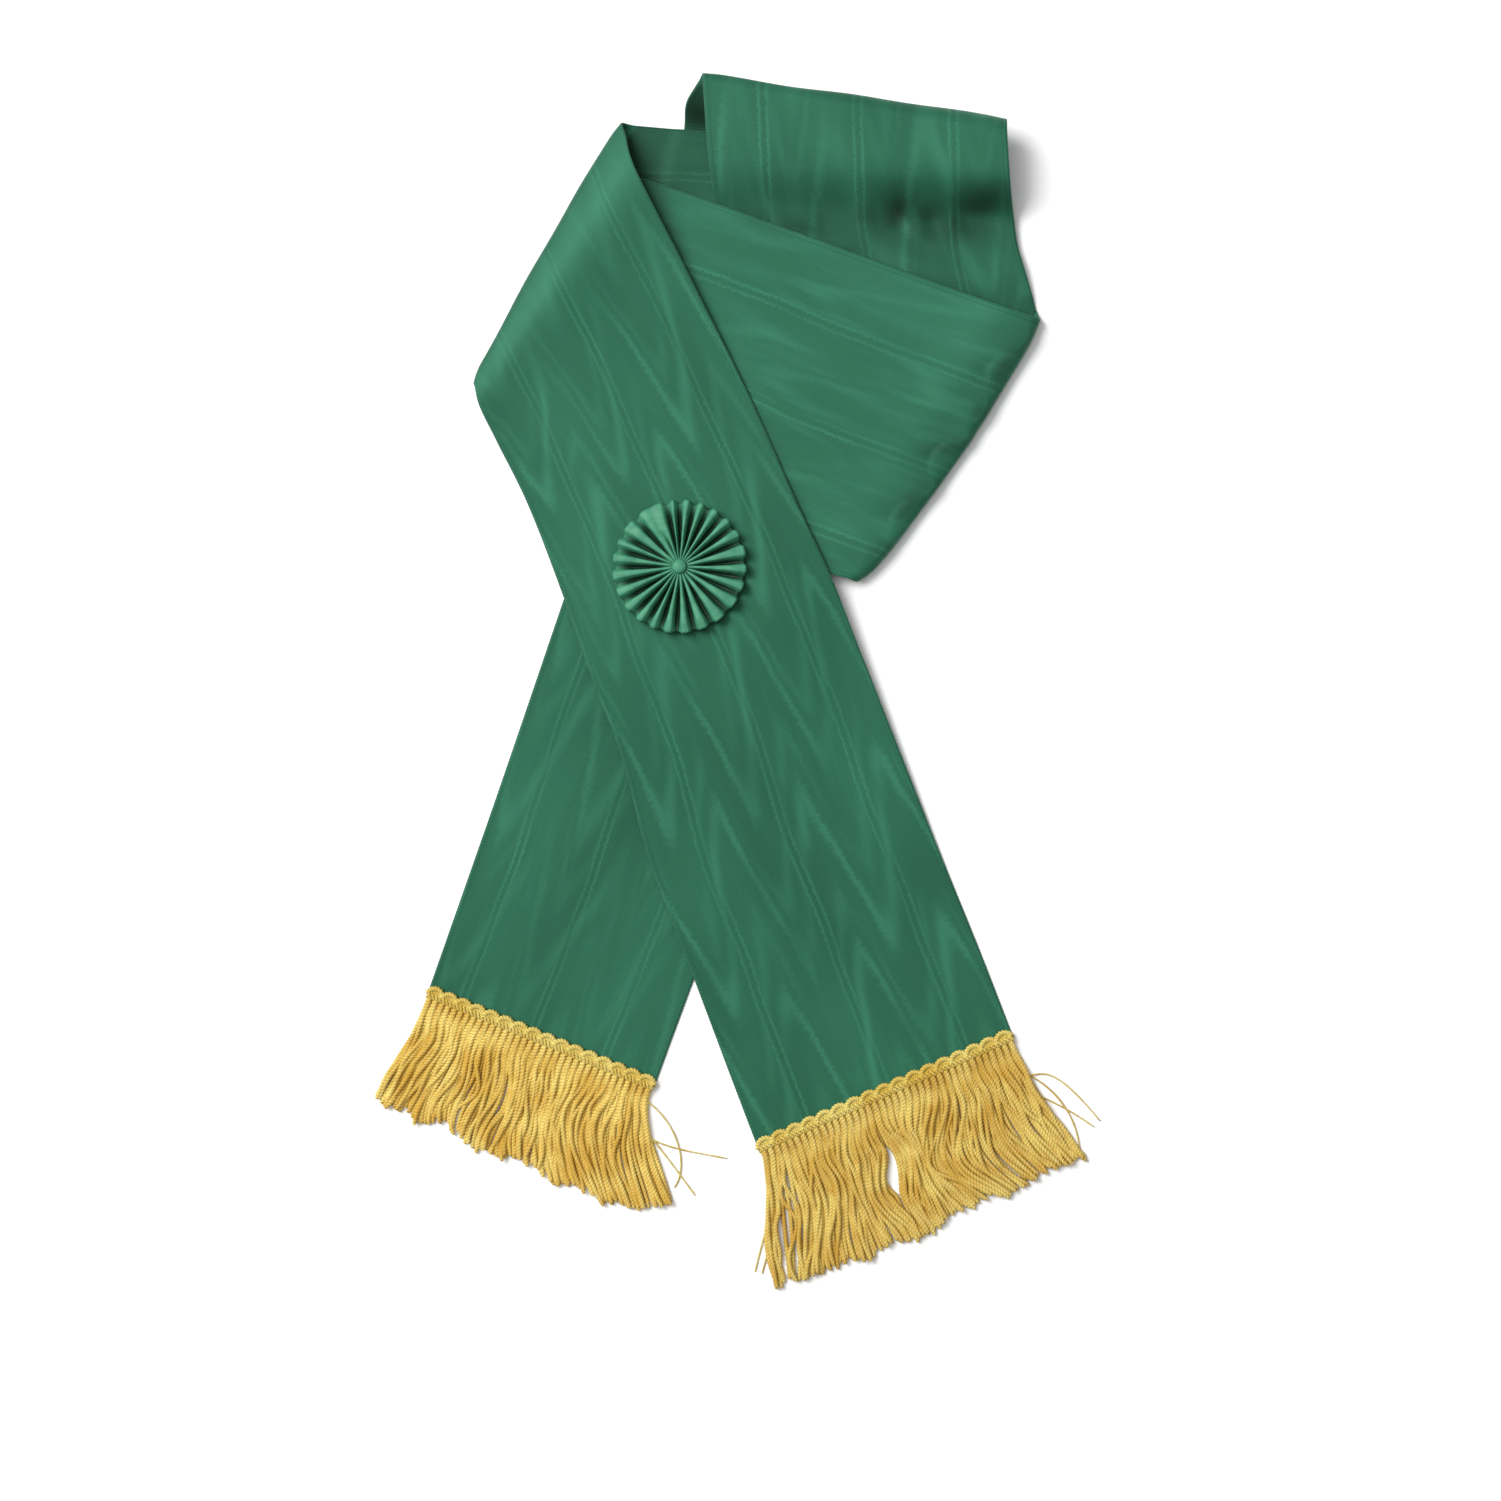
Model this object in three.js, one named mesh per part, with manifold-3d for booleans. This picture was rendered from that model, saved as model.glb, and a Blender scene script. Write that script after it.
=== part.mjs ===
// A ceremonial sash that lies flat: one moiré ribbon folded into a loop with two crossing tails, a fringe of
// gold strands under a scalloped heading on each tail's end, and a pleated rosette with a covered button
// where the tails cross. Millimetres, +Z up, the origin under the centre of the outline at the surface it
// lies on, +Y towards the loop's top.
import * as THREE from "three";
import { mergeVertices } from "three/addons/utils/BufferGeometryUtils.js";
import Module from "manifold-3d";

const wasm = await Module();
wasm.setup();

// Driving sizes
const CLOTH = 1.0; // the ribbon's wall
const LAYER = 1.5; // from the middle of one lying layer to the middle of the next
const FLOOR = CLOTH / 2; // the middle of a layer that lies on the surface
const CLEARANCE = 0.3; // between a sewn-on piece and the ribbon under it
const RIBBON_COLUMNS = 6; // facets across the ribbon
const PANEL_STEPS = 3; // facets between two rows of the table, along the ribbon
const ROLL_STEPS = 8; // facets round a fold
const HEADING_DEPTH = 6.8;
const HEADING_THICKNESS = 2.4;
const ROSETTE = { x: -16.9, y: 41.6, radius: 27, rim: 5.6, hub: 4.2, pleats: 24, bottomWall: 1.4 };
const BUTTON = { radius: 2.9, height: 2.3, footShare: 0.8, waistShare: 0.4, sides: 20 };

// The height of the middle of layer n, counted from the surface up
const level = (n) => FLOOR + n * LAYER;
const FRONT_LEVEL = level(5); // the front tail at the crossing, over the five layers below it

// A short table written as rows under named columns
const table = (columns, rows) =>
  rows.map((row) => Object.fromEntries(columns.map((name, i) => [name, row[i]])));

// The ribbon's cross-sections in order, from the front tail's end through the loop to the back tail's end.
// a is the selvage that is the front tail's left edge, b is the other. Heights are of the wall's middle.
// A row with a reach is a fold: its line is the plan line that the ribbon is folded on, z is the height
// before the fold, zAfter the height after it, and the roll reaches that far in from the line. bow is how
// far the middle of the line stands to the left of its straight run from a to b.
const SECTIONS = table(
  ["place", "ax", "ay", "bx", "by", "za", "zb", "bow", "reach", "zaAfter", "zbAfter"],
  [
    ["front tail end", 14.2, -190.5, 114.2, -146.6, level(0), level(0), 0],
    ["front tail on the surface", 0.2, -154.0, 100.5, -110.6, level(0), level(0), 0],
    ["front tail leaves the back one", -13.7, -116.8, 86.1, -74.5, 2.4, 1.3, 0],
    ["front tail over the back one", -29.6, -75.1, 70.0, -32.9, 4.2, 3.0, 0],
    ["below the rosette", -41.4, -31.2, 53.8, 9.2, 6.4, 5.8, 0],
    ["rosette's lower edge", -53.0, -1.0, 42.3, 39.0, FRONT_LEVEL, FRONT_LEVEL, 0],
    ["crossing", -63.8, 30.2, 29.9, 66.2, FRONT_LEVEL, FRONT_LEVEL, 0],
    ["above the rosette", -79.5, 70.4, 11.2, 109.2, FRONT_LEVEL, FRONT_LEVEL, 0],
    ["below the left fold", -91.9, 95.2, -14.0, 166.2, FRONT_LEVEL, FRONT_LEVEL, 0],
    ["beside the left fold", -98.6, 108.5, -33.0, 209.1, FRONT_LEVEL, FRONT_LEVEL, 0],
    ["left fold", -101.7, 120.7, -40.6, 226.4, FRONT_LEVEL, FRONT_LEVEL, 0.9, 4.0, level(1), level(1)],
    ["dark piece", -70.0, 119.5, -8.1, 222.1, level(1), level(1), 0],
    ["dark piece's hidden fold", -46.5, 118.4, 108.8, 206.6, level(1), level(1), 0, 0.9, level(0), level(0)],
    ["under the roll", -21.4, 205.7, 109.4, 208.6, level(0), level(0), 0],
    ["roll's start", -15.4, 231.8, 110.3, 210.9, level(0), level(0), 0],
    ["top fold", -7.5, 244.9, 114.3, 221.4, level(0), level(0), -0.8, 10.0, 14.0, 19.0],
    ["roll's slope", -6.8, 218.6, 115.1, 199.3, 10.5, 15.0, 0],
    ["roll's foot", -4.8, 200.5, 116.0, 186.5, 5.4, 7.4, 0],
    ["valley", -1.8, 186.9, 117.5, 172.9, 3.8, 3.8, 0],
    ["top panel over the hidden fold", 9.0, 150.5, 120.6, 162.5, level(2), level(2), 0],
    ["top panel", 22.0, 117.0, 123.6, 152.0, 2.2, 2.2, 0],
    ["right fold", 53.8, 36.2, 127.2, 139.9, 1.2, 1.2, -4.2, 3.8, 6.6, 7.2],
    ["right panel beside the fold", 44.5, 38.6, 112.5, 145.3, level(4), 7.6, -1.0],
    ["right panel", 30.0, 44.3, 95.0, 152.2, level(4), level(4), 0],
    ["right panel under the front tail", -30.0, 70.4, -10.0, 193.4, level(4), level(4), 0],
    ["right panel's hidden fold", -72.4, 88.9, -38.2, 203.6, level(4), level(4), 0, 0.9, level(3), level(3)],
    ["hidden fold to the back tail", 42.0, 43.6, -9.7, 190.3, level(3), level(3), 0, 0.9, level(2), level(2)],
    ["back tail under the loop", 36.6, 26.0, -48.0, 79.5, level(2), level(2), 0],
    ["back tail leaves the loop", 27.8, -1.1, -64.7, 31.2, 1.8, 1.8, 0],
    ["back tail on the surface", 6.5, -69.0, -89.0, -40.2, level(0), level(0), 0],
    ["back tail end", -28.4, -165.0, -119.4, -127.9, level(0), level(0), 0],
  ],
);

const edgePoint = (row, edge, z) => new THREE.Vector3(row[edge + "x"], row[edge + "y"], z);

// The curve of one selvage round a fold: from the last point of the flat layer before it to the first point
// of the layer after it. Across the fold line it is a half ellipse, along it a smooth run between the two.
function rollEdge(before, fold, after, edge, inward, along) {
  const corner = edgePoint(fold, edge, 0);
  const arriving = corner.clone().sub(edgePoint(before, edge, 0)).normalize();
  const leaving = edgePoint(after, edge, 0).sub(corner).normalize();
  const slideIn = (-fold.reach * arriving.dot(along)) / -arriving.dot(inward);
  const slideOut = (fold.reach * leaving.dot(along)) / leaving.dot(inward);
  const low = fold["z" + edge];
  const high = fold["z" + edge + "After"];
  const points = [];
  for (let i = 0; i <= ROLL_STEPS; i++) {
    const t = i / ROLL_STEPS;
    const turn = t * Math.PI;
    const slide =
      slideIn * (1 - t) ** 2 * (1 + 2 * t) -
      slideIn * Math.PI * t * (1 - t) ** 2 +
      slideOut * t ** 2 * (3 - 2 * t) -
      slideOut * Math.PI * t ** 2 * (1 - t);
    points.push(
      corner
        .clone()
        .addScaledVector(inward, fold.reach * (1 - Math.sin(turn)))
        .addScaledVector(along, slide)
        .setZ((low + high) / 2 + ((low - high) / 2) * Math.cos(turn)),
    );
  }
  return points;
}

// A row's line in plan: its direction from a to b and the vector that its bow moves the middle by
function lineOf(row) {
  const along = edgePoint(row, "b", 0).sub(edgePoint(row, "a", 0)).normalize();
  return { along, bow: new THREE.Vector3(-along.y, along.x, 0).multiplyScalar(row.bow) };
}

// The ribbon's ruled lines in order, each as [a, b, bow]
function ribbonSections(rows) {
  const sections = [];
  let panel = [];
  const closePanel = () => {
    const curves = [0, 1, 2].map((e) => new THREE.CatmullRomCurve3(panel.map((line) => line[e])));
    const steps = (panel.length - 1) * PANEL_STEPS;
    for (let i = sections.length ? 1 : 0; i <= steps; i++) {
      const line = curves.map((curve) => curve.getPoint(i / steps));
      line.slice(0, 2).forEach((point) => point.setZ(Math.max(point.z, FLOOR)));
      sections.push(line);
    }
  };
  rows.forEach((row, i) => {
    const { along, bow } = lineOf(row);
    if (!row.reach) {
      panel.push([edgePoint(row, "a", row.za), edgePoint(row, "b", row.zb), bow]);
      return;
    }
    const [before, after] = [rows[i - 1], rows[i + 1]];
    const inward = new THREE.Vector3(-along.y, along.x, 0);
    if (inward.dot(edgePoint(before, "a", 0).sub(edgePoint(row, "a", 0))) < 0) inward.negate();
    const [a, b] = ["a", "b"].map((edge) => rollEdge(before, row, after, edge, inward, along));
    panel.push([a[0], b[0], bow]);
    closePanel();
    for (let k = 1; k <= ROLL_STEPS; k++) sections.push([a[k], b[k], bow]);
    panel = [[a[ROLL_STEPS], b[ROLL_STEPS], bow]];
  });
  closePanel();
  return sections;
}

const meshOf = (positions, indices) => {
  const geometry = new THREE.BufferGeometry();
  geometry.setAttribute("position", new THREE.Float32BufferAttribute(positions, 3));
  geometry.setIndex(indices);
  return geometry;
};

// A wall of even thickness on the ruled surface between the two selvages
function ribbonGeometry(rows) {
  const sections = ribbonSections(rows);
  const columns = RIBBON_COLUMNS + 1;
  const middle = sections.map(([a, b, bow]) =>
    Array.from({ length: columns }, (_, j) => {
      const share = j / RIBBON_COLUMNS;
      return a.clone().lerp(b, share).addScaledVector(bow, 4 * share * (1 - share));
    }),
  );
  const last = middle.length - 1;
  const positions = [];
  for (const side of [1, -1])
    for (let i = 0; i <= last; i++)
      for (let j = 0; j < columns; j++) {
        const lengthwise = middle[Math.min(i + 1, last)][j].clone().sub(middle[Math.max(i - 1, 0)][j]);
        const across = middle[i][columns - 1].clone().sub(middle[i][0]);
        const normal = across.cross(lengthwise).normalize();
        positions.push(...middle[i][j].clone().addScaledVector(normal, (side * CLOTH) / 2));
      }
  const face = (i, j) => i * columns + j;
  const back = (i, j) => (last + 1) * columns + face(i, j);
  const indices = [];
  const quad = (p, q, r, s) => indices.push(p, q, r, p, r, s);
  for (let i = 0; i < last; i++) {
    for (let j = 0; j < RIBBON_COLUMNS; j++) {
      quad(face(i, j), face(i, j + 1), face(i + 1, j + 1), face(i + 1, j));
      quad(back(i, j), back(i + 1, j), back(i + 1, j + 1), back(i, j + 1));
    }
    quad(face(i, 0), face(i + 1, 0), back(i + 1, 0), back(i, 0));
    const b = RIBBON_COLUMNS;
    quad(face(i, b), back(i, b), back(i + 1, b), face(i + 1, b));
  }
  for (let j = 0; j < RIBBON_COLUMNS; j++) {
    quad(face(0, j), back(0, j), back(0, j + 1), face(0, j + 1));
    quad(face(last, j), face(last, j + 1), back(last, j + 1), back(last, j));
  }
  return meshOf(positions, indices);
}

const solidOf = (geometry) => {
  const bare = geometry.clone();
  bare.deleteAttribute("normal");
  bare.deleteAttribute("uv");
  const merged = mergeVertices(bare, 1e-3);
  return new wasm.Manifold(
    new wasm.Mesh({
      numProp: 3,
      vertProperties: new Float32Array(merged.attributes.position.array),
      triVerts: new Uint32Array(merged.index.array),
    }),
  );
};

const geometryOf = (solid) => {
  const { numProp, numVert, vertProperties, triVerts } = solid.getMesh();
  const positions = new Float32Array(numVert * 3);
  for (let i = 0; i < numVert; i++) {
    const start = i * numProp;
    positions.set(vertProperties.subarray(start, start + 3), i * 3);
  }
  return meshOf(positions, Array.from(triVerts));
};

// Fringes. left and right are the ends of the heading's scalloped edge, seen with the skirt hanging down.
// A lock runs from its root on the heading to its tip; both are measured from the left end, across the
// ribbon and down the skirt. sway moves its middle sideways.
const LOCK_COLUMNS = ["tipAcross", "tipDown", "sway", "tipWidth"];
const FRINGES = {
  front_fringe: {
    left: [12.2, -185.9],
    right: [112.2, -142.0],
    scallops: 17,
    locks: table(LOCK_COLUMNS, [
      [-12.0, 56.0, -4.0, 8.0],
      [-2.0, 57.5, 4.5, 8.5],
      [8.0, 58.5, 3.0, 8.5],
      [18.0, 59.5, 1.5, 9.0],
      [27.5, 59.5, -3.5, 8.5],
      [37.0, 60.5, -3.0, 9.0],
      [46.0, 60.0, 3.5, 9.0],
      [55.5, 60.0, -1.5, 9.0],
      [65.0, 57.5, -4.0, 9.0],
      [75.0, 57.5, -6.0, 9.0],
      [85.0, 58.0, -4.5, 9.0],
      [95.0, 58.5, -4.0, 9.0],
      [104.5, 58.5, -3.0, 9.0],
      [113.0, 57.5, -2.0, 8.0],
    ]),
  },
  back_fringe: {
    left: [-117.5, -123.3],
    right: [-26.5, -160.4],
    scallops: 16,
    locks: table(LOCK_COLUMNS, [
      [-1.5, 53.0, 0.5, 8.0],
      [7.5, 54.0, -0.5, 7.5],
      [17.5, 53.0, -3.0, 8.0],
      [27.5, 52.0, -3.5, 9.0],
      [37.0, 54.5, 0.5, 9.0],
      [47.0, 55.0, 2.0, 9.0],
      [57.0, 54.5, -3.0, 9.0],
      [67.0, 54.5, -1.0, 9.0],
      [77.0, 54.5, -1.5, 9.0],
      [87.0, 54.0, -3.5, 9.0],
      [97.0, 55.5, -3.5, 9.0],
      [107.5, 54.5, -4.0, 9.0],
      [119.5, 46.5, -4.5, 8.0],
    ]),
  },
};
const LOCK_STEPS = 6;
const LOCK_ROOT = { down: 4.4, straight: 14, thickness: 1.9, widening: 1.02 };
const LOCK_TIP_THICKNESS = 1.5;
const LOCK_SWAY_SHARE = 0.6; // how far down its length a lock sways the most
const LOCK_LANDING = { from: 0.12, to: 0.55 }; // the share of its length over which it comes down
// A lock's section: a flat underside and a domed top, as shares of its half width and of its thickness
const LOCK_SECTION = [
  [-0.8, 0],
  [0.8, 0],
  [1, 0.35],
  [0.75, 0.8],
  [0, 1],
  [-0.75, 0.8],
  [-1, 0.35],
];
const HEADING_BOTTOM = CLOTH + CLEARANCE;
const LOCK_RISE = 0.1; // how far above the heading's underside a lock starts

// A bundle of strands that leaves the heading above the ribbon's end and comes down to lie on the surface
function lockGeometry(lock, rootAcross, rootWidth) {
  const path = new THREE.CubicBezierCurve(
    new THREE.Vector2(rootAcross, LOCK_ROOT.down),
    new THREE.Vector2(rootAcross, LOCK_ROOT.down + LOCK_ROOT.straight),
    new THREE.Vector2((rootAcross + lock.tipAcross) / 2 + 2 * lock.sway, LOCK_SWAY_SHARE * lock.tipDown),
    new THREE.Vector2(lock.tipAcross, lock.tipDown),
  );
  const sides = LOCK_SECTION.length;
  const positions = [];
  for (let i = 0; i <= LOCK_STEPS; i++) {
    const t = i / LOCK_STEPS;
    const point = path.getPoint(t);
    const tangent = path.getTangent(t);
    const half = THREE.MathUtils.lerp(rootWidth, lock.tipWidth, t) / 2;
    const thickness = THREE.MathUtils.lerp(LOCK_ROOT.thickness, LOCK_TIP_THICKNESS, t);
    const landed = THREE.MathUtils.smoothstep(t, LOCK_LANDING.from, LOCK_LANDING.to);
    const bottom = (HEADING_BOTTOM + LOCK_RISE) * (1 - landed);
    for (const [u, v] of LOCK_SECTION) {
      const across = point.x + tangent.y * u * half;
      const down = point.y - tangent.x * u * half;
      positions.push(across, -down, bottom + v * thickness);
    }
  }
  const indices = [];
  for (let i = 0; i < LOCK_STEPS; i++)
    for (let k = 0; k < sides; k++) {
      const next = (k + 1) % sides;
      const [p, q] = [i * sides + k, i * sides + next];
      indices.push(p, q, p + sides, q, q + sides, p + sides);
    }
  for (let k = 1; k < sides - 1; k++) {
    indices.push(0, k + 1, k);
    indices.push(LOCK_STEPS * sides, LOCK_STEPS * sides + k, LOCK_STEPS * sides + k + 1);
  }
  return meshOf(positions, indices);
}

const SCALLOP_FACETS = 5;

// The gimp heading: a strip with a round scallop for each turn of its cord along the upper edge
function headingGeometry(width, scallops) {
  const radius = width / scallops / 2;
  const outline = new THREE.Shape();
  outline.moveTo(0, -HEADING_DEPTH);
  outline.lineTo(width, -HEADING_DEPTH);
  outline.lineTo(width, -radius);
  for (let i = scallops - 1; i >= 0; i--)
    outline.absarc((2 * i + 1) * radius, -radius, radius, 0, Math.PI, false);
  outline.lineTo(0, -HEADING_DEPTH);
  const geometry = new THREE.ExtrudeGeometry(outline, {
    depth: HEADING_THICKNESS,
    bevelEnabled: false,
    curveSegments: SCALLOP_FACETS,
  });
  return geometry.translate(0, 0, HEADING_BOTTOM);
}

// Heading and locks joined into one body, laid so that across runs from left to right
function fringeGeometry({ left, right, scallops, locks }) {
  const run = new THREE.Vector2(right[0] - left[0], right[1] - left[1]);
  const width = run.length();
  const spacing = width / locks.length;
  let body = solidOf(headingGeometry(width, scallops));
  locks.forEach((lock, i) => {
    body = body.add(solidOf(lockGeometry(lock, (i + 0.5) * spacing, spacing * LOCK_ROOT.widening)));
  });
  return geometryOf(body).rotateZ(run.angle()).translate(left[0], left[1], 0);
}

// The rings of the rosette as shares of its radius, and the points of one pleat: how far round it each lies,
// and 1 on the ridge to 0 in the valley
const ROSETTE_RINGS = [0.13, 0.35, 0.6, 0.82, 0.96, 1];
const PLEAT_POINTS = table(
  ["turn", "ridge"],
  [
    [0, 1],
    [0.3, 0.55],
    [0.62, 0],
    [0.85, 0.5],
  ],
);
const PLEAT_DEEPENING = { from: 0.1, to: 0.7 }; // the share of the radius over which the valleys deepen
const RIM = { zigzag: 0.03, drop: 0.7, undercut: 0.6 };

// The rosette: ribbon laid in knife pleats round a centre, so that the top is a ring of ridges and valleys
// that deepen towards a zigzag rim, on a flat underside
function rosetteGeometry({ radius, rim, hub, pleats, bottomWall }) {
  const points = PLEAT_POINTS.length;
  const around = pleats * points;
  const angleOf = (k) => ((Math.floor(k / points) + PLEAT_POINTS[k % points].turn) / pleats) * 2 * Math.PI;
  const valleyOf = (k) => 1 - PLEAT_POINTS[k % points].ridge;
  const positions = [0, 0, hub];
  const addPoint = (reach, k, z) =>
    positions.push(reach * Math.cos(angleOf(k)), reach * Math.sin(angleOf(k)), z);
  ROSETTE_RINGS.forEach((share) => {
    const ridgeHeight = THREE.MathUtils.lerp(hub, rim, share) - (share === 1 ? RIM.drop : 0);
    const deepened = THREE.MathUtils.smoothstep(share, PLEAT_DEEPENING.from, PLEAT_DEEPENING.to);
    const depth = (ridgeHeight - bottomWall) * deepened;
    for (let k = 0; k < around; k++)
      addPoint(share * radius * (1 - RIM.zigzag * valleyOf(k) * share), k, ridgeHeight - depth * valleyOf(k));
  });
  const underRim = positions.length / 3;
  for (let k = 0; k < around; k++) addPoint(radius * (1 - RIM.zigzag * valleyOf(k)) - RIM.undercut, k, 0);
  positions.push(0, 0, 0);
  const underCentre = underRim + around;
  const indices = [];
  for (let k = 0; k < around; k++) {
    const next = (k + 1) % around;
    indices.push(0, 1 + k, 1 + next);
    for (let r = 0; r < ROSETTE_RINGS.length; r++) {
      const [p, q] = [1 + r * around + k, 1 + r * around + next];
      indices.push(p, p + around, q, q, p + around, q + around);
    }
    indices.push(underCentre, underRim + next, underRim + k);
  }
  return meshOf(positions, indices);
}

// A covered button: a low dome with a rounded edge on a flat underside
function buttonGeometry({ radius, height, footShare, waistShare, sides }) {
  const profile = new THREE.Path();
  profile.moveTo(0, 0);
  profile.lineTo(radius * footShare, 0);
  profile.quadraticCurveTo(radius, 0, radius, height * waistShare);
  profile.quadraticCurveTo(radius * footShare, height, 0, height);
  const points = profile.getPoints(5);
  points[0].x = 0;
  points[points.length - 1].x = 0;
  return new THREE.LatheGeometry(points, sides).rotateX(Math.PI / 2);
}

const material = (color, roughness) => new THREE.MeshStandardMaterial({ color, roughness, metalness: 0 });
const MATERIALS = {
  ribbon: material(0x2f6a4f, 0.45),
  gold: material(0xd9a441, 0.5),
  rosette: material(0x3a7d5c, 0.4),
  button: material(0x56a07c, 0.4),
};

const sash = new THREE.Group();
const addPiece = (parent, name, geometry, finish) => {
  const mesh = new THREE.Mesh(geometry, finish);
  mesh.name = name;
  parent.add(mesh);
  return mesh;
};

addPiece(sash, "sash_ribbon", ribbonGeometry(SECTIONS), MATERIALS.ribbon);
for (const [name, fringe] of Object.entries(FRINGES))
  addPiece(sash, name, fringeGeometry(fringe), MATERIALS.gold);

const rosetteGroup = new THREE.Group();
rosetteGroup.position.set(ROSETTE.x, ROSETTE.y, FRONT_LEVEL + CLOTH / 2 + CLEARANCE);
addPiece(rosetteGroup, "rosette", rosetteGeometry(ROSETTE), MATERIALS.rosette);
const button = addPiece(rosetteGroup, "rosette_button", buttonGeometry(BUTTON), MATERIALS.button);
button.position.z = ROSETTE.hub + CLEARANCE;
sash.add(rosetteGroup);

export default sash;
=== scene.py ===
# %% [markdown]
# # A ceremonial sash, dressed over its plain solids
# The frame that this script loads holds five plain solids: the folded ribbon, a fringe on each of its two
# ends, the pleated rosette where the tails cross, and the rosette's button. They have the right size and
# place and nothing else. Each cell below makes one real piece in the place of a solid: the moiré ribbon with
# its soft folds, the corded heading of the fringe, its twisted strands, the pleats and the covered button.
# All lengths are written in millimetres and become metres as a mesh is made.

import bpy
import numpy as np
from mathutils import Matrix, Vector


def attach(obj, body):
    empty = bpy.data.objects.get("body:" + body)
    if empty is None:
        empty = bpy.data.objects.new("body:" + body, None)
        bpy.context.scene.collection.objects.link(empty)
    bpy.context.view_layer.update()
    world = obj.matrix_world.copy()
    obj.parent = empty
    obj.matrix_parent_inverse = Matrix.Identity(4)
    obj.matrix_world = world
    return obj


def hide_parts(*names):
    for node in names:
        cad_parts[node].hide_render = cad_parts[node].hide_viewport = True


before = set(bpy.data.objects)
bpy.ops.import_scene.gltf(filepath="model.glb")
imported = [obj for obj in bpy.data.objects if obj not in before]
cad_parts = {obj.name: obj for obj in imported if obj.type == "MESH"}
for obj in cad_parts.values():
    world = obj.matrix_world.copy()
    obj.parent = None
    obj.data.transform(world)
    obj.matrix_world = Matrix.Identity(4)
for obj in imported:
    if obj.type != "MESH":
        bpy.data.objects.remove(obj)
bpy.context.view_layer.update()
MM = 0.001
print("nodes:", sorted(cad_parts))

# %% [markdown]
# ## The camera
# The sash was photographed from above, a little from the right and from below the tails. A camera that looks
# straight down has no natural "up", so Blender's own tracking would turn the picture. The three axes of the
# camera are built by hand instead: it looks along its own -Z, and the picture's up is kept on the sash's +Y.

# %% Camera
CAMERA_PLACE = Vector((0.13823, -0.15913, 1.28735))
CAMERA_TARGET = Vector((0.0103, -0.0312, 0.0))
CAMERA_LENS = 77.948


def look_at(place, target, top):
    """The matrix of a camera or light at place: Z runs from target to place, X is top x Z and Y is Z x X."""
    back = (place - target).normalized()
    right = top.cross(back).normalized()
    turn = Matrix((right, back.cross(right), back)).transposed().to_4x4()
    return Matrix.Translation(place) @ turn


scene = bpy.context.scene
camera_data = bpy.data.cameras.new("camera")
camera_data.lens = CAMERA_LENS
camera_data.sensor_width = 36
camera_data.clip_end = 10
camera = bpy.data.objects.new("camera", camera_data)
camera.matrix_world = look_at(CAMERA_PLACE, CAMERA_TARGET, Vector((0, 1, 0)))
scene.collection.objects.link(camera)
scene.camera = camera
print("camera at", tuple(round(x, 3) for x in camera.location))

# %% [markdown]
# ## Floor and light
# A soft light from the upper left draws the folds, a wide one overhead gives the cloth its sheen, and a pale
# world fills the shadows as the walls of a light tent do. The lights stand far off, so that both tails get
# the same light. The floor is a plain sheet just under the ribbon. "Standard" colours are kept, so that a
# green mixed in a material comes out as that green.

# %% Floor and lights
KEY_LIGHT = {"place": (-1.95, 1.1, 2.8), "size": 2.3, "watts": 152.0}
TOP_LIGHT = {"place": (0.1, -0.1, 3.0), "size": 2.4, "watts": 24.0}
SKY_STRENGTH = 0.26
FLOOR_HALF = 3.0
FLOOR_DROP = 0.00015

scene.view_settings.view_transform = "Standard"
world = bpy.data.worlds.new("light tent")
world.use_nodes = True
world.node_tree.nodes["Background"].inputs["Color"].default_value = (1, 1, 1, 1)
world.node_tree.nodes["Background"].inputs["Strength"].default_value = SKY_STRENGTH
scene.world = world


def add_area_light(name, place, size, watts):
    """A square lamp at place that shines on the middle of the sash."""
    data = bpy.data.lights.new(name, "AREA")
    data.shape = "SQUARE"
    data.size = size
    data.energy = watts
    lamp = bpy.data.objects.new(name, data)
    lamp.matrix_world = look_at(Vector(place), Vector((0, 0, 0)), Vector((0, 0, 1)))
    scene.collection.objects.link(lamp)


add_area_light("key_light", **KEY_LIGHT)
add_area_light("top_light", **TOP_LIGHT)

floor_mesh = bpy.data.meshes.new("floor")
signs = [(-1, -1), (1, -1), (1, 1), (-1, 1)]
floor_mesh.from_pydata([(x * FLOOR_HALF, y * FLOOR_HALF, -FLOOR_DROP) for x, y in signs], [], [(0, 1, 2, 3)])
floor = bpy.data.objects.new("floor", floor_mesh)
scene.collection.objects.link(floor)
print("lights of", KEY_LIGHT["watts"], "and", TOP_LIGHT["watts"], "watts")

# %% [markdown]
# ## From arrays to meshes
# Every piece here is a surface worked out as a whole with numpy: a grid of points, whose rows are joined to
# their neighbours by four-sided faces. One helper numbers those faces for a stack of closed rings, and one
# hands the arrays to Blender. `foreach_set` copies an array at once, which is why a hundred thousand points
# take a moment and not minutes.

# %% Mesh helpers
def grid_faces(rows, columns, wrap_rows=False, copies=1):
    """Faces of closed rings: side k of ring i joins side k of ring i + 1, for each of the copies in turn."""
    row = np.arange(rows if wrap_rows else rows - 1)[:, None]
    side = np.arange(columns)[None, :]
    next_row, next_side = (row + 1) % rows, (side + 1) % columns
    corners = [(row, side), (row, next_side), (next_row, next_side), (next_row, side)]
    quads = np.stack([np.broadcast_to(r * columns + c, (len(row), columns)) for r, c in corners], -1)
    starts = np.arange(copies)[:, None, None] * rows * columns
    return (quads.reshape(1, -1, 4) + starts).reshape(-1, 4)


def end_caps(rings, sides, copies=1):
    """One flat face on each end of each tube."""
    first = np.arange(sides)[::-1]
    last = (rings - 1) * sides + np.arange(sides)
    starts = np.arange(copies)[:, None, None] * rings * sides
    return (np.stack([first, last])[None] + starts).reshape(-1, sides)


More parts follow.
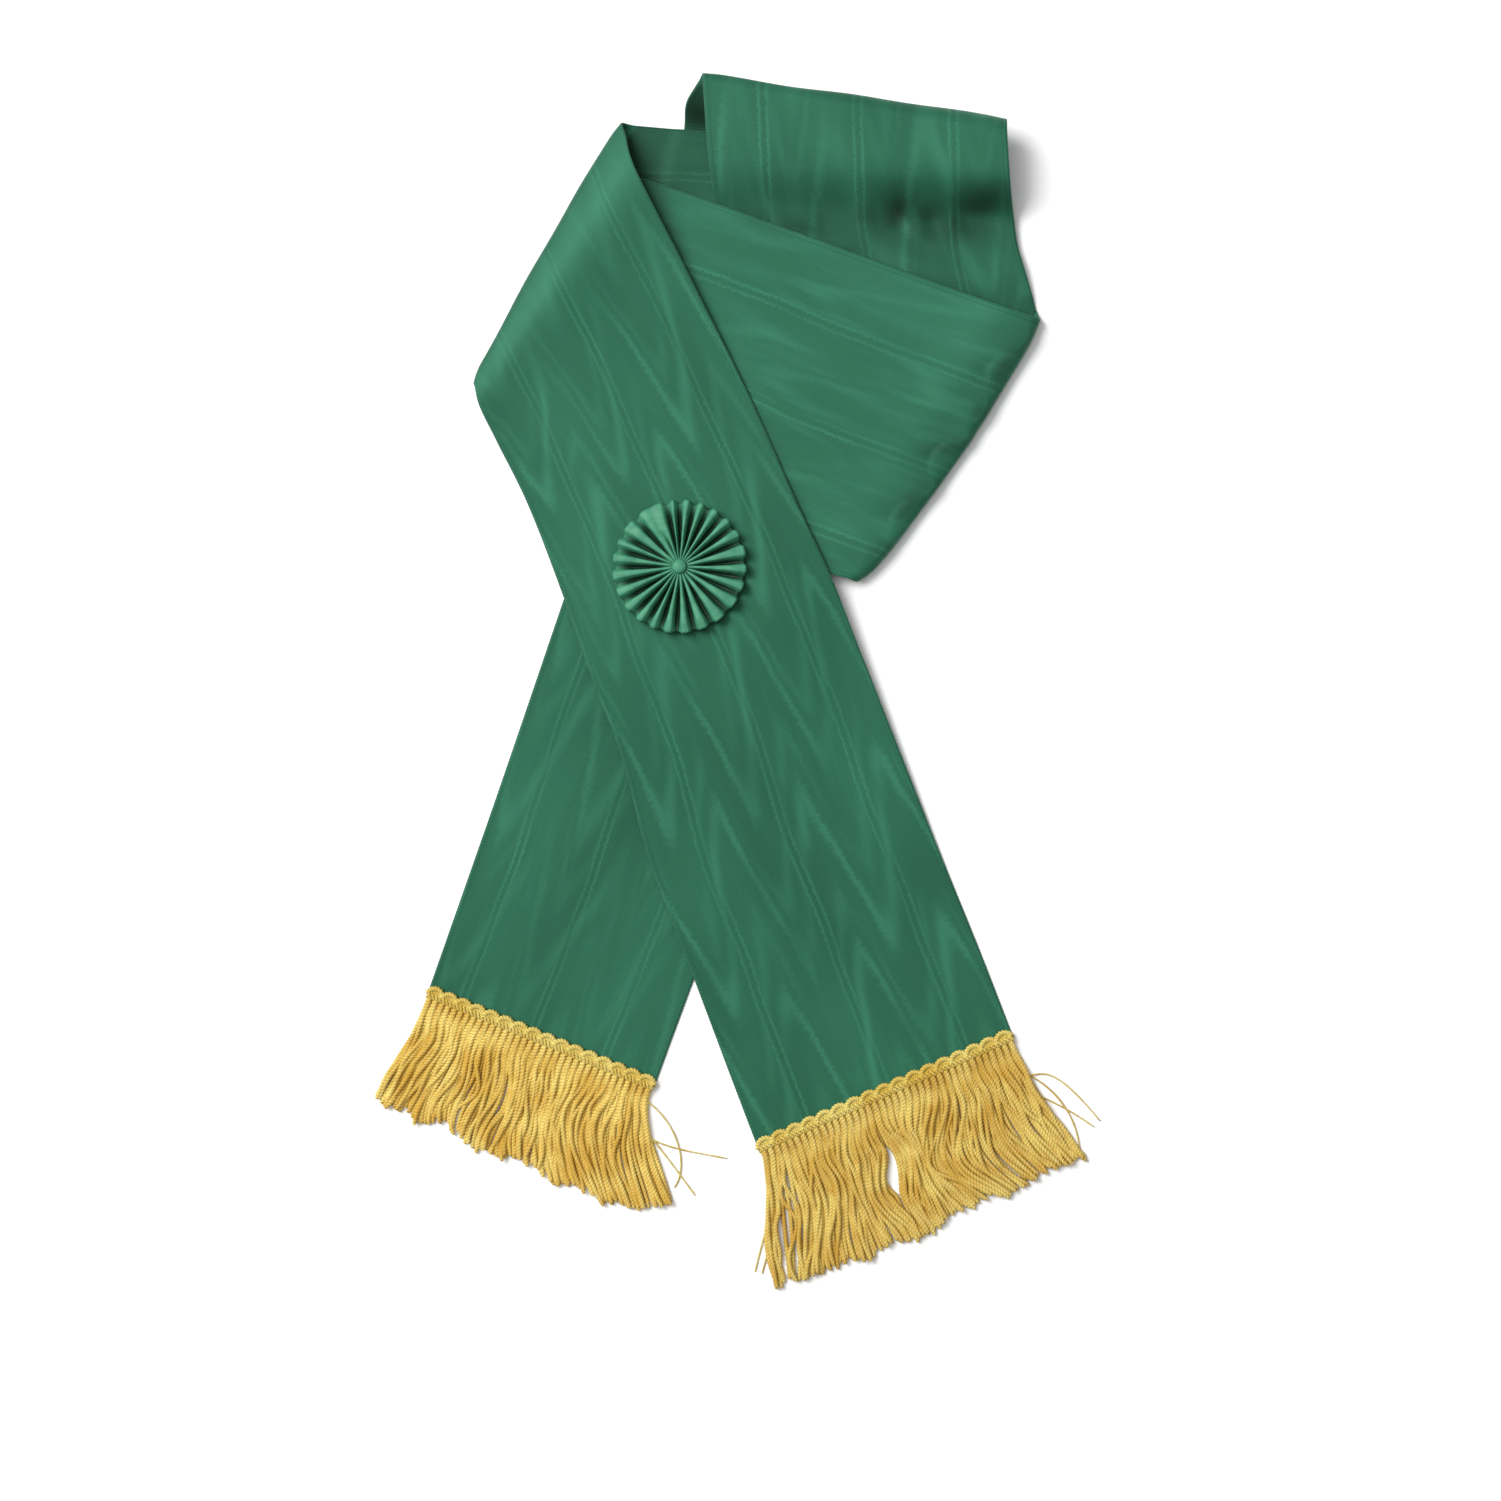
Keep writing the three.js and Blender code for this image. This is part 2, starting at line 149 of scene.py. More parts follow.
def tube_faces(rings, sides, copies=1):
    """The wall and the two caps of each tube."""
    return [grid_faces(rings, sides, copies=copies), end_caps(rings, sides, copies)]


def volume_of(points, face_sets):
    """A sixth of a . (b x c), summed over the faces' triangles: the volume, if they point outwards."""
    total = 0.0
    for faces in face_sets:
        a = points[faces[:, 0]]
        for i in range(1, faces.shape[1] - 1):
            total += np.einsum("ij,ij->", a, np.cross(points[faces[:, i]], points[faces[:, i + 1]])) / 6
    return total


def make_mesh(name, points_mm, face_sets, uv=None):
    """A smooth mesh object from points in millimetres and arrays of faces. uv is one pair for each point."""
    points = np.asarray(points_mm, float).reshape(-1, 3)
    corners = np.concatenate([faces.ravel() for faces in face_sets])
    sizes = np.concatenate([np.full(len(faces), faces.shape[1]) for faces in face_sets])
    mesh = bpy.data.meshes.new(name)
    mesh.vertices.add(len(points))
    mesh.vertices.foreach_set("co", (points * MM).astype(np.float32).ravel())
    mesh.loops.add(len(corners))
    mesh.loops.foreach_set("vertex_index", corners.astype(np.int32))
    mesh.polygons.add(len(sizes))
    mesh.polygons.foreach_set("loop_start", np.concatenate([[0], np.cumsum(sizes)[:-1]]).astype(np.int32))
    if uv is not None:
        layer = mesh.uv_layers.new(name="cloth")
        layer.data.foreach_set("uv", np.asarray(uv, np.float32).reshape(-1, 2)[corners].ravel())
    mesh.update(calc_edges=True)
    mesh.shade_smooth()
    piece = bpy.data.objects.new(name, mesh)
    scene.collection.objects.link(piece)
    print(f"{name}: {int((sizes - 2).sum())} triangles, {volume_of(points, face_sets) / 1000:.2f} cm3")
    return piece


def unit(vectors):
    """Each vector divided by its own length."""
    return vectors / np.maximum(np.linalg.norm(vectors, axis=-1, keepdims=True), 1e-9)


def smoothstep(x, low, high):
    """0 below low, 1 above high, and 3t^2 - 2t^3 between them."""
    t = np.clip((x - low) / (high - low), 0, 1)
    return t * t * (3 - 2 * t)


def bell(distance, reach):
    """e^-(distance / reach)^2."""
    return np.exp(-((distance / reach) ** 2))


def ripples(u, v, length_u, length_v, waves, seed):
    """Smooth random waves of height about 1: a sum of cosines whose lengths and phases are drawn once."""
    rng = np.random.default_rng(seed)
    total = np.zeros(np.broadcast(u, v).shape)
    for _ in range(waves):
        turn_u, turn_v = rng.uniform(-1.3, 1.3, 2)
        total += np.cos(2 * np.pi * (turn_u * u / length_u + turn_v * v / length_v + rng.uniform()))
    return total / np.sqrt(waves / 2)


# %% [markdown]
# ## The ribbon's shape
# The real thing is one ribbon, about 1.2 m long, turned over on itself six times: three folds show, and three
# hide under the layers above. A cloth simulation could drop it, but would hardly fall into these very folds,
# so the ribbon is described as a maker would lay it: lines across the ribbon, one after another, each with
# its two selvage points and their heights. Between the lines every lengthwise thread is a smooth curve, and
# at a fold it turns over on half an ellipse. That keeps the width true and gives each fold a soft roll.

# %% The lines across the ribbon
CLOTH = 0.6
FLOOR = CLOTH / 2
LAYER = 1.5
INNER_THREADS = 41
STEP = 1.8


def level(n):
    """The height of the middle of layer n, counted from the floor up."""
    return FLOOR + n * LAYER


# place, selvage a (x, y), selvage b (x, y), the heights of a and b, and how far the line bows. A fold also
# has its roll's reach, the heights after it, and how far its corners at a and b are rounded back.
COLUMNS = "place ax ay bx by za zb bow reach za_after zb_after round_a round_b".split()
ROWS = [
    ("front tail end", 14.2, -190.5, 114.2, -146.6, level(0), level(0), 0),
    ("front tail on the surface", 0.2, -154.0, 100.5, -110.6, level(0), level(0), 0),
    ("front tail leaves the back one", -13.7, -116.8, 86.1, -74.5, 2.2, 1.1, 0),
    ("front tail over the back one", -29.6, -75.1, 70.0, -32.9, 4.0, 2.8, 0),
    ("below the rosette", -41.4, -31.2, 53.8, 9.2, 6.2, 5.6, 0),
    ("rosette's lower edge", -53.0, -1.0, 42.3, 39.0, level(5), level(5), 0),
    ("crossing", -63.8, 30.2, 29.9, 66.2, level(5), level(5), 0),
    ("above the rosette", -79.5, 70.4, 11.2, 109.2, level(5), level(5), 0),
    ("below the left fold", -91.9, 95.2, -16.6, 166.2, 8.0, 10.4, 0),
    ("beside the left fold", -99.3, 110.4, -37.2, 208.6, 8.6, 11.6, 0),
    ("left fold", -103.3, 120.8, -42.9, 226.9, 7.4, 7.6, 0.7,
     4.8, level(0), level(0), 1.6, 1.0),
    ("dark piece", -70.0, 119.5, -8.1, 222.1, level(0), level(0), 0),
    ("hidden fold of the dark piece", -46.5, 118.4, 108.8, 206.6, level(1), level(1), 0,
     0.9, level(0), level(0), 0, 0),
    ("under the roll", -19.9, 205.4, 109.4, 207.8, level(0), level(0), 0),
    ("roll's heel", -16.4, 224.6, 109.7, 208.7, 0.8, level(0), 0),
    ("roll's start", -15.0, 233.0, 110.5, 210.9, 6.5, 2.6, 0),
    ("top fold", -7.5, 243.6, 114.3, 220.8, 10.5, 6.0, 0,
     8.0, 14.2, 18.8, 0.5, 0.3),
    ("roll's slope", -5.2, 206.0, 115.6, 195.0, 9.2, 16.8, 0),
    ("roll's foot", -2.6, 190.5, 116.7, 183.2, 4.6, 4.2, 0),
    ("valley", 1.2, 178.0, 118.2, 171.5, 2.8, 2.3, 0),
    ("top panel over the hidden fold", 9.0, 150.5, 120.6, 162.5, level(2), level(2), 0),
    ("top panel", 22.0, 117.0, 123.6, 152.0, 2.0, 2.0, 0),
    ("right fold", 55.0, 35.0, 127.2, 139.9, 1.0, 1.0, -4.0,
     4.2, 6.2, 6.8, 1.9, 0.5),
    ("right panel beside the fold", 44.5, 38.6, 112.5, 145.3, level(4), 7.4, -1.0),
    ("right panel", 30.0, 44.3, 95.0, 152.2, level(4), level(4), 0),
    ("right panel under the front tail", -30.0, 70.4, -10.0, 193.4, level(4), level(4), 0),
    ("hidden fold of the right panel", -72.4, 88.9, -38.2, 203.6, level(4), level(4), 0,
     0.9, level(3), level(3), 0, 0),
    ("hidden fold to the back tail", 42.0, 43.6, -9.7, 190.3, level(3), level(3), 0,
     0.9, level(2), level(2), 0, 0),
    ("back tail under the loop", 36.6, 26.0, -48.0, 79.5, level(2), level(2), 0),
    ("back tail leaves the loop", 27.8, -1.1, -64.7, 31.2, 1.6, 1.6, 0),
    ("back tail on the surface", 6.5, -69.0, -89.0, -40.2, level(0), level(0), 0),
    ("back tail end", -28.4, -165.0, -119.4, -127.9, level(0), level(0), 0),
]
LINES = [dict(zip(COLUMNS, row)) for row in ROWS]

# Threads lie closer together near the two selvages, where the cloth has its firm edge
EDGE_SHARES = np.array([0, 0.006, 0.014])
inner = np.linspace(0.03, 0.97, INNER_THREADS)
share = np.concatenate([EDGE_SHARES, inner, 1 - EDGE_SHARES[::-1]])

# Where the cloth stands up along a line, and where it sinks away: share of the way across, height and width
TONGUES = [(0.12, 0.5, 0.04), (0.37, 1.0, 0.03), (0.56, 0.8, 0.02), (0.66, 0.9, 0.035), (0.93, 0.7, 0.04)]
HOLLOWS = [(0.26, 0.9, 0.045), (0.48, 1.1, 0.055), (0.605, 0.5, 0.015), (0.8, 1.0, 0.045)]
VALLEY_RIDGES = [(0.79, 2.6, 0.02), (0.675, 3.0, 0.02), (0.5, 2.2, 0.035), (0.3, 1.6, 0.03)]
VALLEY_PITS = [(0.91, 1.2, 0.07), (0.605, 1.4, 0.035)]


def bumps(at, table):
    """The sum over the table of height e^-((at - share) / width)^2."""
    places, heights, sizes = np.array(table).T
    return (heights * bell(at[:, None] - places, sizes)).sum(axis=1)


buckles = bumps(share, TONGUES) - bumps(share, HOLLOWS)
by_place = {line["place"]: line for line in LINES}
by_place["left fold"]["swell"] = 0.35 + 0.65 * smoothstep(share, 0.0, 0.1)
by_place["right fold"]["swell"] = np.clip(1 - buckles, 0.35, 2.3)
by_place["top fold"]["swell"] = 0.5 + 0.5 * share
by_place["roll's foot"]["crest"] = bumps(share, VALLEY_RIDGES) - bumps(share, VALLEY_PITS)
print(len(LINES), "lines,", len(share), "threads")

# %% [markdown]
# Next come the two curves that every thread is made of. A Catmull-Rom curve passes through all its points
# and takes its direction at each from the two neighbours. The centripetal kind spaces its knots by the square
# root of the distance, so it never overshoots where two lines lie close together. The roll of a fold slides
# along the fold line as it turns over, because the ribbon arrives and leaves at a slant.

# %% Threads between the folds
CORNER_SHARE = 0.07


def plan_points(line):
    """The line's points at every thread, in plan: straight from a to b, moved sideways by bow 4s(1 - s)."""
    a, b = np.array([line["ax"], line["ay"]]), np.array([line["bx"], line["by"]])
    along = (b - a) / np.linalg.norm(b - a)
    side = np.array([-along[1], along[0]])
    return a + share[:, None] * (b - a) + side * (line["bow"] * 4 * share * (1 - share))[:, None]


def with_height(line):
    """The line's points with heights that run evenly from a to b, plus its crest."""
    height = line["za"] + share * (line["zb"] - line["za"]) + line.get("crest", 0)
    return np.column_stack([plan_points(line), height])


def thread_span(p0, p1, p2, p3, fractions):
    """The centripetal Catmull-Rom span from p1 to p2, for all threads at once, as a cubic with end slopes."""
    chords = (p1 - p0, p2 - p1, p3 - p2)
    k0, k1, k2 = (np.sqrt(np.linalg.norm(chord, axis=1, keepdims=True)) for chord in chords)
    k0, k2 = np.where(k0 < 1e-4, k1, k0), np.where(k2 < 1e-4, k1, k2)
    slope1 = ((p1 - p0) / k0 - (p2 - p0) / (k0 + k1) + (p2 - p1) / k1) * k1
    slope2 = ((p2 - p1) / k1 - (p3 - p1) / (k1 + k2) + (p3 - p2) / k2) * k1
    t = fractions[:, None, None]
    return (
        (2 * t**3 - 3 * t**2 + 1) * p1 + (t**3 - 2 * t**2 + t) * slope1
        + (3 * t**2 - 2 * t**3) * p2 + (t**3 - t**2) * slope2
    )


def panel_rows(points):
    """The panel through a list of lines, with one row of points each STEP millimetres."""
    padded = [2 * points[0] - points[1], *points, 2 * points[-1] - points[-2]]
    rows = [points[0][None]]
    for p0, p1, p2, p3 in zip(padded, padded[1:], padded[2:], padded[3:]):
        count = max(2, round(float(np.linalg.norm(p2 - p1, axis=1).mean()) / STEP))
        rows.append(thread_span(p0, p1, p2, p3, np.arange(1, count + 1) / count))
    return np.concatenate(rows)


def roll_rows(before, fold, after):
    """Every thread's way round a fold, from the layer below to the one above or back.
    In from the fold line it stands at reach (1 - sin turn), its height is the mean minus half the step times
    cos turn, and along the line it slides by a cubic whose end slopes match the threads on both sides."""
    corner = plan_points(fold)
    line = np.array([fold["bx"] - fold["ax"], fold["by"] - fold["ay"]])
    along = line / np.linalg.norm(line)
    inward = np.array([-along[1], along[0]])
    if inward @ (before[0] - corner[0]) < 0:
        inward = -inward
    rounded = fold["round_a"] * np.clip(1 - share / CORNER_SHARE, 0, 1) ** 2
    rounded = rounded + fold["round_b"] * np.clip(1 - (1 - share) / CORNER_SHARE, 0, 1) ** 2
    corner = corner + inward * rounded[:, None]
    reach = fold["reach"] * fold.get("swell", np.ones(len(share)))
    arriving = unit(corner - before)
    leaving = unit(after - corner)
    slide_in = reach * (arriving @ along) / (arriving @ inward)
    slide_out = reach * (leaving @ along) / (leaving @ inward)
    steps = max(10, round(3 + 2.2 * fold["reach"]))
    t = np.linspace(0, 1, steps + 1)[:, None]
    turn = np.pi * t
    slide = (
        slide_in * (1 - t) ** 2 * (1 + 2 * t) - slide_in * np.pi * t * (1 - t) ** 2
        + slide_out * t**2 * (3 - 2 * t) - slide_out * np.pi * t**2 * (1 - t)
    )
    low = fold["za"] + share * (fold["zb"] - fold["za"])
    high = fold["za_after"] + share * (fold["zb_after"] - fold["za_after"])
    plan = corner + inward * (reach * (1 - np.sin(turn)))[..., None] + along * slide[..., None]
    height = (low + high) / 2 + (low - high) / 2 * np.cos(turn)
    return np.concatenate([plan, height[..., None]], -1)


# %% Lay the ribbon
def lay_ribbon(lines):
    """Rows of points along the whole ribbon, and the row numbers at which the folds begin and end."""
    parts, folds, panel, count = [], {}, [], 0
    for i, line in enumerate(lines):
        flat = with_height(line)
        if "reach" not in line:
            panel.append(flat)
            continue
        roll = roll_rows(plan_points(lines[i - 1]), line, plan_points(lines[i + 1]))
        rows = panel_rows([*panel, roll[0]])
        parts += [rows if not parts else rows[1:], roll[1:]]
        count += len(parts[-2])
        folds[line["place"]] = (count, count + len(roll) - 1)
        count += len(roll) - 1
        panel = [roll[-1]]
    parts.append(panel_rows(panel)[1:])
    return np.concatenate(parts), folds


middle, folds = lay_ribbon(LINES)
steps_along = np.linalg.norm(np.diff(middle, axis=0), axis=2).mean(axis=1)
along_mm = np.concatenate([[0], np.cumsum(steps_along)])
widths = np.linalg.norm(middle[:, -1] - middle[:, 0], axis=1)
print(f"{len(middle)} rows, {along_mm[-1]:.0f} mm along the middle")
print(f"from {widths.min():.0f} to {widths.max():.0f} mm across, measured along the lines")

# %% [markdown]
# A ribbon that was pressed and then laid down is never dead flat. Long shallow waves, a fraction of a
# millimetre high, catch the light as the real cloth does, and sharp little buckles run out of the right fold,
# where the cloth was bent the hardest. Both are added along the surface's own direction of "up".

# %% Waves and buckles
def surface_normals(points):
    """The unit direction that stands on the cloth: the run across crossed with the run along."""
    across = np.gradient(points, axis=1)
    lengthwise = np.gradient(points, axis=0)
    return unit(np.cross(across, lengthwise))


ROSETTE_PLACE = np.array([-16.9, 41.6])
WAVE_HEIGHT = 0.16
WAVE_LENGTHS = (55, 130)
BUCKLE_HEIGHT = 0.7
BUCKLE_FADE = 12.0
BUCKLE_BEFORE = 0.3

across_mm = share[None] * widths[:, None]
waves = WAVE_HEIGHT * ripples(across_mm, along_mm[:, None], *WAVE_LENGTHS, 14, seed=3)
from_fold = along_mm - along_mm[folds["right fold"][1]]
fading = np.exp(-np.abs(from_fold) / BUCKLE_FADE) * np.where(from_fold < 0, BUCKLE_BEFORE, 1)
waves = waves + BUCKLE_HEIGHT * fading[:, None] * buckles
from_ends = np.minimum(along_mm, along_mm[-1] - along_mm)[:, None]
from_rosette = np.linalg.norm(middle[..., :2] - ROSETTE_PLACE, axis=-1)
waves = waves * smoothstep(from_ends, 8, 30) * smoothstep(from_rosette, 22, 45)
middle = middle + surface_normals(middle) * waves[..., None]
print(f"waves and buckles from {waves.min():.2f} to {waves.max():.2f} mm high")

# %% [markdown]
# Layers that lie on each other must not cut each other. The dark piece steps up over the edge of the roll's
# lower layer, and the right panel's selvage presses the top panel down, as far as the dark piece's fold lets
# it. All of this happens along straight lines from one selvage point to another, and a point's place left or
# right of such a line says how much of the step it gets.

# %% Keep the layers apart
STEP_UP = 0.7
PRESS_DEPTH = 0.8
LYING_APART = 0.7


def selvage_line(*ends):
    """A straight line in plan between two selvage points, each given as a line's place and side, a or b."""
    return np.array([[by_place[place][side + "x"], by_place[place][side + "y"]] for place, side in ends])


def left_of(points, line):
    """How far each point lies to the left of a line's run, in plan."""
    run = unit(line[1] - line[0])
    apart = points[..., :2] - line[0]
    return apart[..., 1] * run[0] - apart[..., 0] * run[1]


def keep_above(height, lowest, softness=0.05):
    """Heights that stay above lowest: lowest + softness ln(1 + e^((z - lowest) / softness))."""
    lift = (height - lowest) / softness
    return lowest + softness * np.logaddexp(0, lift)


roll_edge = selvage_line(("roll's heel", "a"), ("hidden fold of the dark piece", "a"))
panel_selvage = selvage_line(("hidden fold of the right panel", "b"), ("right fold", "b"))
dark_fold = selvage_line(("hidden fold of the dark piece", "a"), ("hidden fold of the dark piece", "b"))

dark_piece = slice(folds["left fold"][1], folds["hidden fold of the dark piece"][0])
over_edge = smoothstep(left_of(middle[dark_piece], roll_edge), -6, 0)
middle[dark_piece, :, 2] += over_edge * (STEP_UP * level(1) - STEP_UP * middle[dark_piece, :, 2])
top_panel = slice(folds["top fold"][1], folds["right fold"][0])
pressed = 1 - smoothstep(left_of(middle[top_panel], panel_selvage), 0.5, 8)
middle[top_panel, :, 2] -= PRESS_DEPTH * pressed
over_fold = smoothstep(left_of(middle[top_panel], dark_fold), -6, -1)
middle[top_panel, :, 2] = keep_above(middle[top_panel, :, 2], over_fold * (level(1) + LYING_APART))
middle[..., 2] = keep_above(middle[..., 2], FLOOR)
print(f"the cloth's middle lies {middle[..., 2].min():.2f} to {middle[..., 2].max():.2f} mm up")

# %% [markdown]
# Light gets lost in the deepest creases: inside the roll, where the front tail crosses over the dark piece,
# and in the pits of the valley. How deep each point lies there is worked out here and kept with the mesh as a
# number for each point, so that the cloth's material can paint that shade into its colour. A second number
# paints a highlight into the colour on the left fold, where the pressed cloth catches the light.

# %% Shade in the creases
# Soft ellipses in plan: the middle x and y, half length, half breadth, turn in degrees, and depth
VALLEY_SHADE = [
    (70.5, 186.0, 8.5, 6.0, 60, 0.92), (83.5, 184.5, 8.0, 5.0, 0, 0.72), (103.5, 187.5, 12.0, 6.0, 14, 0.72),
    (57.5, 184.5, 6.0, 5.0, 0, 0.5), (31.0, 181.0, 16.0, 5.0, -8, 0.3), (64.0, 179.0, 30.0, 8.0, -15, 0.33),
    (94.0, 179.0, 24.0, 8.0, 0, 0.58),
]
FOLD_SHADE = [
    (89.5, 89.0, 8.0, 3.4, 8, 0.7), (103.0, 103.0, 4.0, 3.4, 30, 0.55), (112.5, 121.0, 12.0, 4.0, 56, 0.6),
    (75.5, 67.5, 10.0, 3.6, 52, 0.55), (61.5, 48.0, 5.0, 2.5, 40, 0.4),
]
ROLL_SHADE = [(-11.0, 229.0, 15.0, 10.0, 90, 0.95), (-7.0, 244.0, 6.0, 4.0, 0, 0.8)]
# The depth and the reach of the shade beside the right panel's selvage, close by and farther off
SELVAGE_SHADE, PANEL_SHADE = (0.36, 2.0), (0.24, 23.0)
# The deepest shade of the dark piece, how far it reaches from the front tail, and what is left beyond that
DARK_SHADE, DARK_REACH, DARK_REST = 0.75, 9.0, 0.12


def spots(points, table):
    """The darkest of the table's spots at each point: depth times e^-(distance in half lengths)^2."""
    x, y, half_long, half_broad, turn, depth = np.array(table).T
    away_x, away_y = points[..., :1] - x, points[..., 1:2] - y
    cosine, sine = np.cos(np.radians(turn)), np.sin(np.radians(turn))
    lengthwise = (away_x * cosine + away_y * sine) / half_long
    sideways = (away_y * cosine - away_x * sine) / half_broad
    return (depth * np.exp(-(lengthwise**2) - sideways**2)).max(axis=-1)


# Painted shade on the top panel: in the valley's pits, and beside the step down from the right panel's
# selvage
shade = np.zeros(middle.shape[:2])
shade[top_panel] = spots(middle[top_panel], VALLEY_SHADE)
under_panel = np.clip(left_of(middle[top_panel], panel_selvage), 0, None)
shade[top_panel] += SELVAGE_SHADE[0] * np.exp(-under_panel / SELVAGE_SHADE[1])
shade[top_panel] += PANEL_SHADE[0] * bell(under_panel, PANEL_SHADE[1])

# Painted shade at the right fold: in its creases, and a soft band behind them on the layer that lies on top
fold_turn = sum(folds["right fold"]) // 2
from_line = left_of(middle[fold_turn:], selvage_line(("right fold", "a"), ("right fold", "b")))
along_fold = spots(middle[fold_turn:], FOLD_SHADE) + (0.08 + 0.12 * share) * bell(from_line - 9, 8)
shade[fold_turn:] = along_fold * (middle[fold_turn:, :, 2] > level(3))

# Painted shade beside the front tail: a band that spreads and deepens as the tail rises towards the roll
tail_edge = selvage_line(("above the rosette", "b"), ("left fold", "b"))
below = slice(folds["left fold"][1], folds["hidden fold of the right panel"][0])
beside_tail = np.clip(-left_of(middle, tail_edge), 0, None)
up_tail = middle[below, :, 1]
spreading = 2.2 + 3.0 * smoothstep(up_tail, 150, 205) + 5.0 * smoothstep(up_tail, 195, 215)
crossing_depth = 0.3 + 0.5 * smoothstep(up_tail, 150, 215)
shade[below] = np.maximum(shade[below], crossing_depth * bell(beside_tail[below], spreading))
darkness = DARK_REST + DARK_SHADE * np.exp(-beside_tail[dark_piece] / DARK_REACH)
shade[dark_piece] = np.maximum(shade[dark_piece], darkness)

# Inside the roll the face gets the painted shade and the back, which shows, doesn't
inside_roll = shade.copy()
roll = slice(folds["hidden fold of the dark piece"][1], folds["top fold"][1])
inside_roll[roll] = spots(middle[roll], ROLL_SHADE)
print("share of the cloth in shade", round(float((shade > 0.1).mean()), 3))

# %% Painted highlight on the pressed fold
# The painted highlight lies before the left fold, in a band that widens towards selvage b
HIGHLIGHT_BEFORE = 4.0
HIGHLIGHT_HALF = 3.5
HIGHLIGHT_WIDENS = 7.0
HIGHLIGHT_ROWS = 30

polish = np.zeros(middle.shape[:2])
fold_top = slice(folds["left fold"][0] - HIGHLIGHT_ROWS, sum(folds["left fold"]) // 2)
inwards = -left_of(middle[fold_top], selvage_line(("left fold", "a"), ("left fold", "b")))
polish[fold_top] = bell(inwards - HIGHLIGHT_BEFORE - HIGHLIGHT_WIDENS * share, HIGHLIGHT_HALF + HIGHLIGHT_WIDENS * share)
print("share of the cloth that is polished", round(float((polish > 0.1).mean()), 3))

# %% [markdown]
# The cloth gets its thickness by going round each row: over the face from selvage to selvage, and back
# underneath. The two firm selvages are a little thicker than the cloth between them.

# %% The ribbon's mesh
EDGE_BULGE = 0.18
EDGE_THICKER = 0.25


def wrap_cloth(name, points, edge_share, along):
    """A closed body round the middle surface: half the cloth's thickness up and down along the normals."""
    up = surface_normals(points)
    firm = smoothstep(np.abs(edge_share - 0.5), 0.488, 0.496)
    half = (CLOTH / 2 * (1 + EDGE_THICKER * firm))[None, :, None]
    face, back = points + up * half, points - up * half
    outward_a = unit(points[:, :1] - points[:, 1:2])
    outward_b = unit(points[:, -1:] - points[:, -2:-1])
    side_a, side_b = points[:, :1] + outward_a * EDGE_BULGE, points[:, -1:] + outward_b * EDGE_BULGE
    rings = np.concatenate([face, side_b, back[:, ::-1], side_a], axis=1)
    rows, sides = rings.shape[:2]
    ring_share = np.concatenate([edge_share, [1], edge_share[::-1], [0]])
    uv = np.stack(np.broadcast_arrays(ring_share[None], along[:, None] * MM), -1)
    return make_mesh(name, rings, tube_faces(rows, sides), uv)


ribbon = wrap_cloth("sash_ribbon_cloth", middle, share, along_mm)
# The painted shade and the painted highlight are kept on the mesh, for the face and the back in turn
for name, face, back in (("shade", inside_roll, shade), ("polish", polish, polish)):
    values = np.concatenate([face, back[:, -1:], back[:, ::-1], back[:, :1]], axis=1)
    ribbon.data.attributes.new(name, "FLOAT", "POINT").data.foreach_set("value", values.ravel())

# %% [markdown]
# The selvages are woven with tiny loops, called picots, that read as a row of light dots. They are a beaded
# cord on each edge of the cloth. A cord needs two directions across its run; here they are the cloth's own,
# outwards and up, because those turn over smoothly with the folds.

# %% The selvages
PICOT_PITCH = 1.25
PICOT_RADIUS = 0.3
PICOT_STEPS = 4
PICOT_SIDES = 6
PICOT_OUT = 0.1


def sweep(paths, side, up, radius):
    """Tubes along paths whose last axis is x, y, z: a ring's points lie radius (cos side + sin up) off."""
    angle = np.arange(radius.shape[-1]) * 2 * np.pi / radius.shape[-1]
    spokes = np.cos(angle)[:, None] * side[..., None, :] + np.sin(angle)[:, None] * up[..., None, :]
    return paths[..., None, :] + radius[..., None] * spokes


def resample(curve, positions, wanted):
    """The columns of a curve, known at positions, at the wanted ones."""
    return np.stack([np.interp(wanted, positions, column) for column in curve.T], -1)


def selvage_rings(points, edge, inner_edge, turn):
    """The beaded cord on one edge: its radius swells by |sin| once for each picot."""
    path = points[:, edge]
    length = np.concatenate([[0], np.cumsum(np.linalg.norm(np.diff(path, axis=0), axis=1))])
    wanted = np.arange(0, length[-1], PICOT_PITCH / PICOT_STEPS)
    outward = unit(points[:, edge] - points[:, inner_edge])
    upward = surface_normals(points)[:, edge] * turn
    path, outward, upward = (resample(curve, length, wanted) for curve in (path, outward, upward))
    bead = PICOT_RADIUS * (0.75 + 0.55 * np.abs(np.sin(np.pi * wanted / PICOT_PITCH)))
    radius = np.tile(bead[:, None], PICOT_SIDES)
    return sweep(path + outward * PICOT_OUT, unit(outward), unit(upward), radius), wanted


def make_selvages(points):
    """Both selvages as one piece, with the cloth map's second number running along them."""
    ends = [selvage_rings(points, 0, 1, 1.0), selvage_rings(points, -1, -2, -1.0)]
    rings = np.concatenate([ring.reshape(-1, 3) for ring, _ in ends])
    faces, start = [], 0
    for ring, _ in ends:
        faces += [part + start for part in tube_faces(len(ring), PICOT_SIDES)]
        start += ring.shape[0] * PICOT_SIDES
    along = np.concatenate([np.repeat(wanted, PICOT_SIDES) for _, wanted in ends]) * MM
    return make_mesh("sash_ribbon_selvages", rings, faces, np.stack([0 * along, along], -1))


selvages = make_selvages(middle)

# %% [markdown]
# ## The fringe
# A fringe is woven in one strip: a scalloped heading of twisted cords, and a skirt of loose cords that hang
# from it in pairs. Lying on a table the cords keep the bends that they fell in, and run together in locks
# that the solids show as well. Hair curves could make the strands, but a hair has no twist and no end that
# stays put, so each cord is a tube of its own, and all the cords of a skirt are worked out together.

# %% Where the fringes lie
CLOTH_TOP = 2 * FLOOR

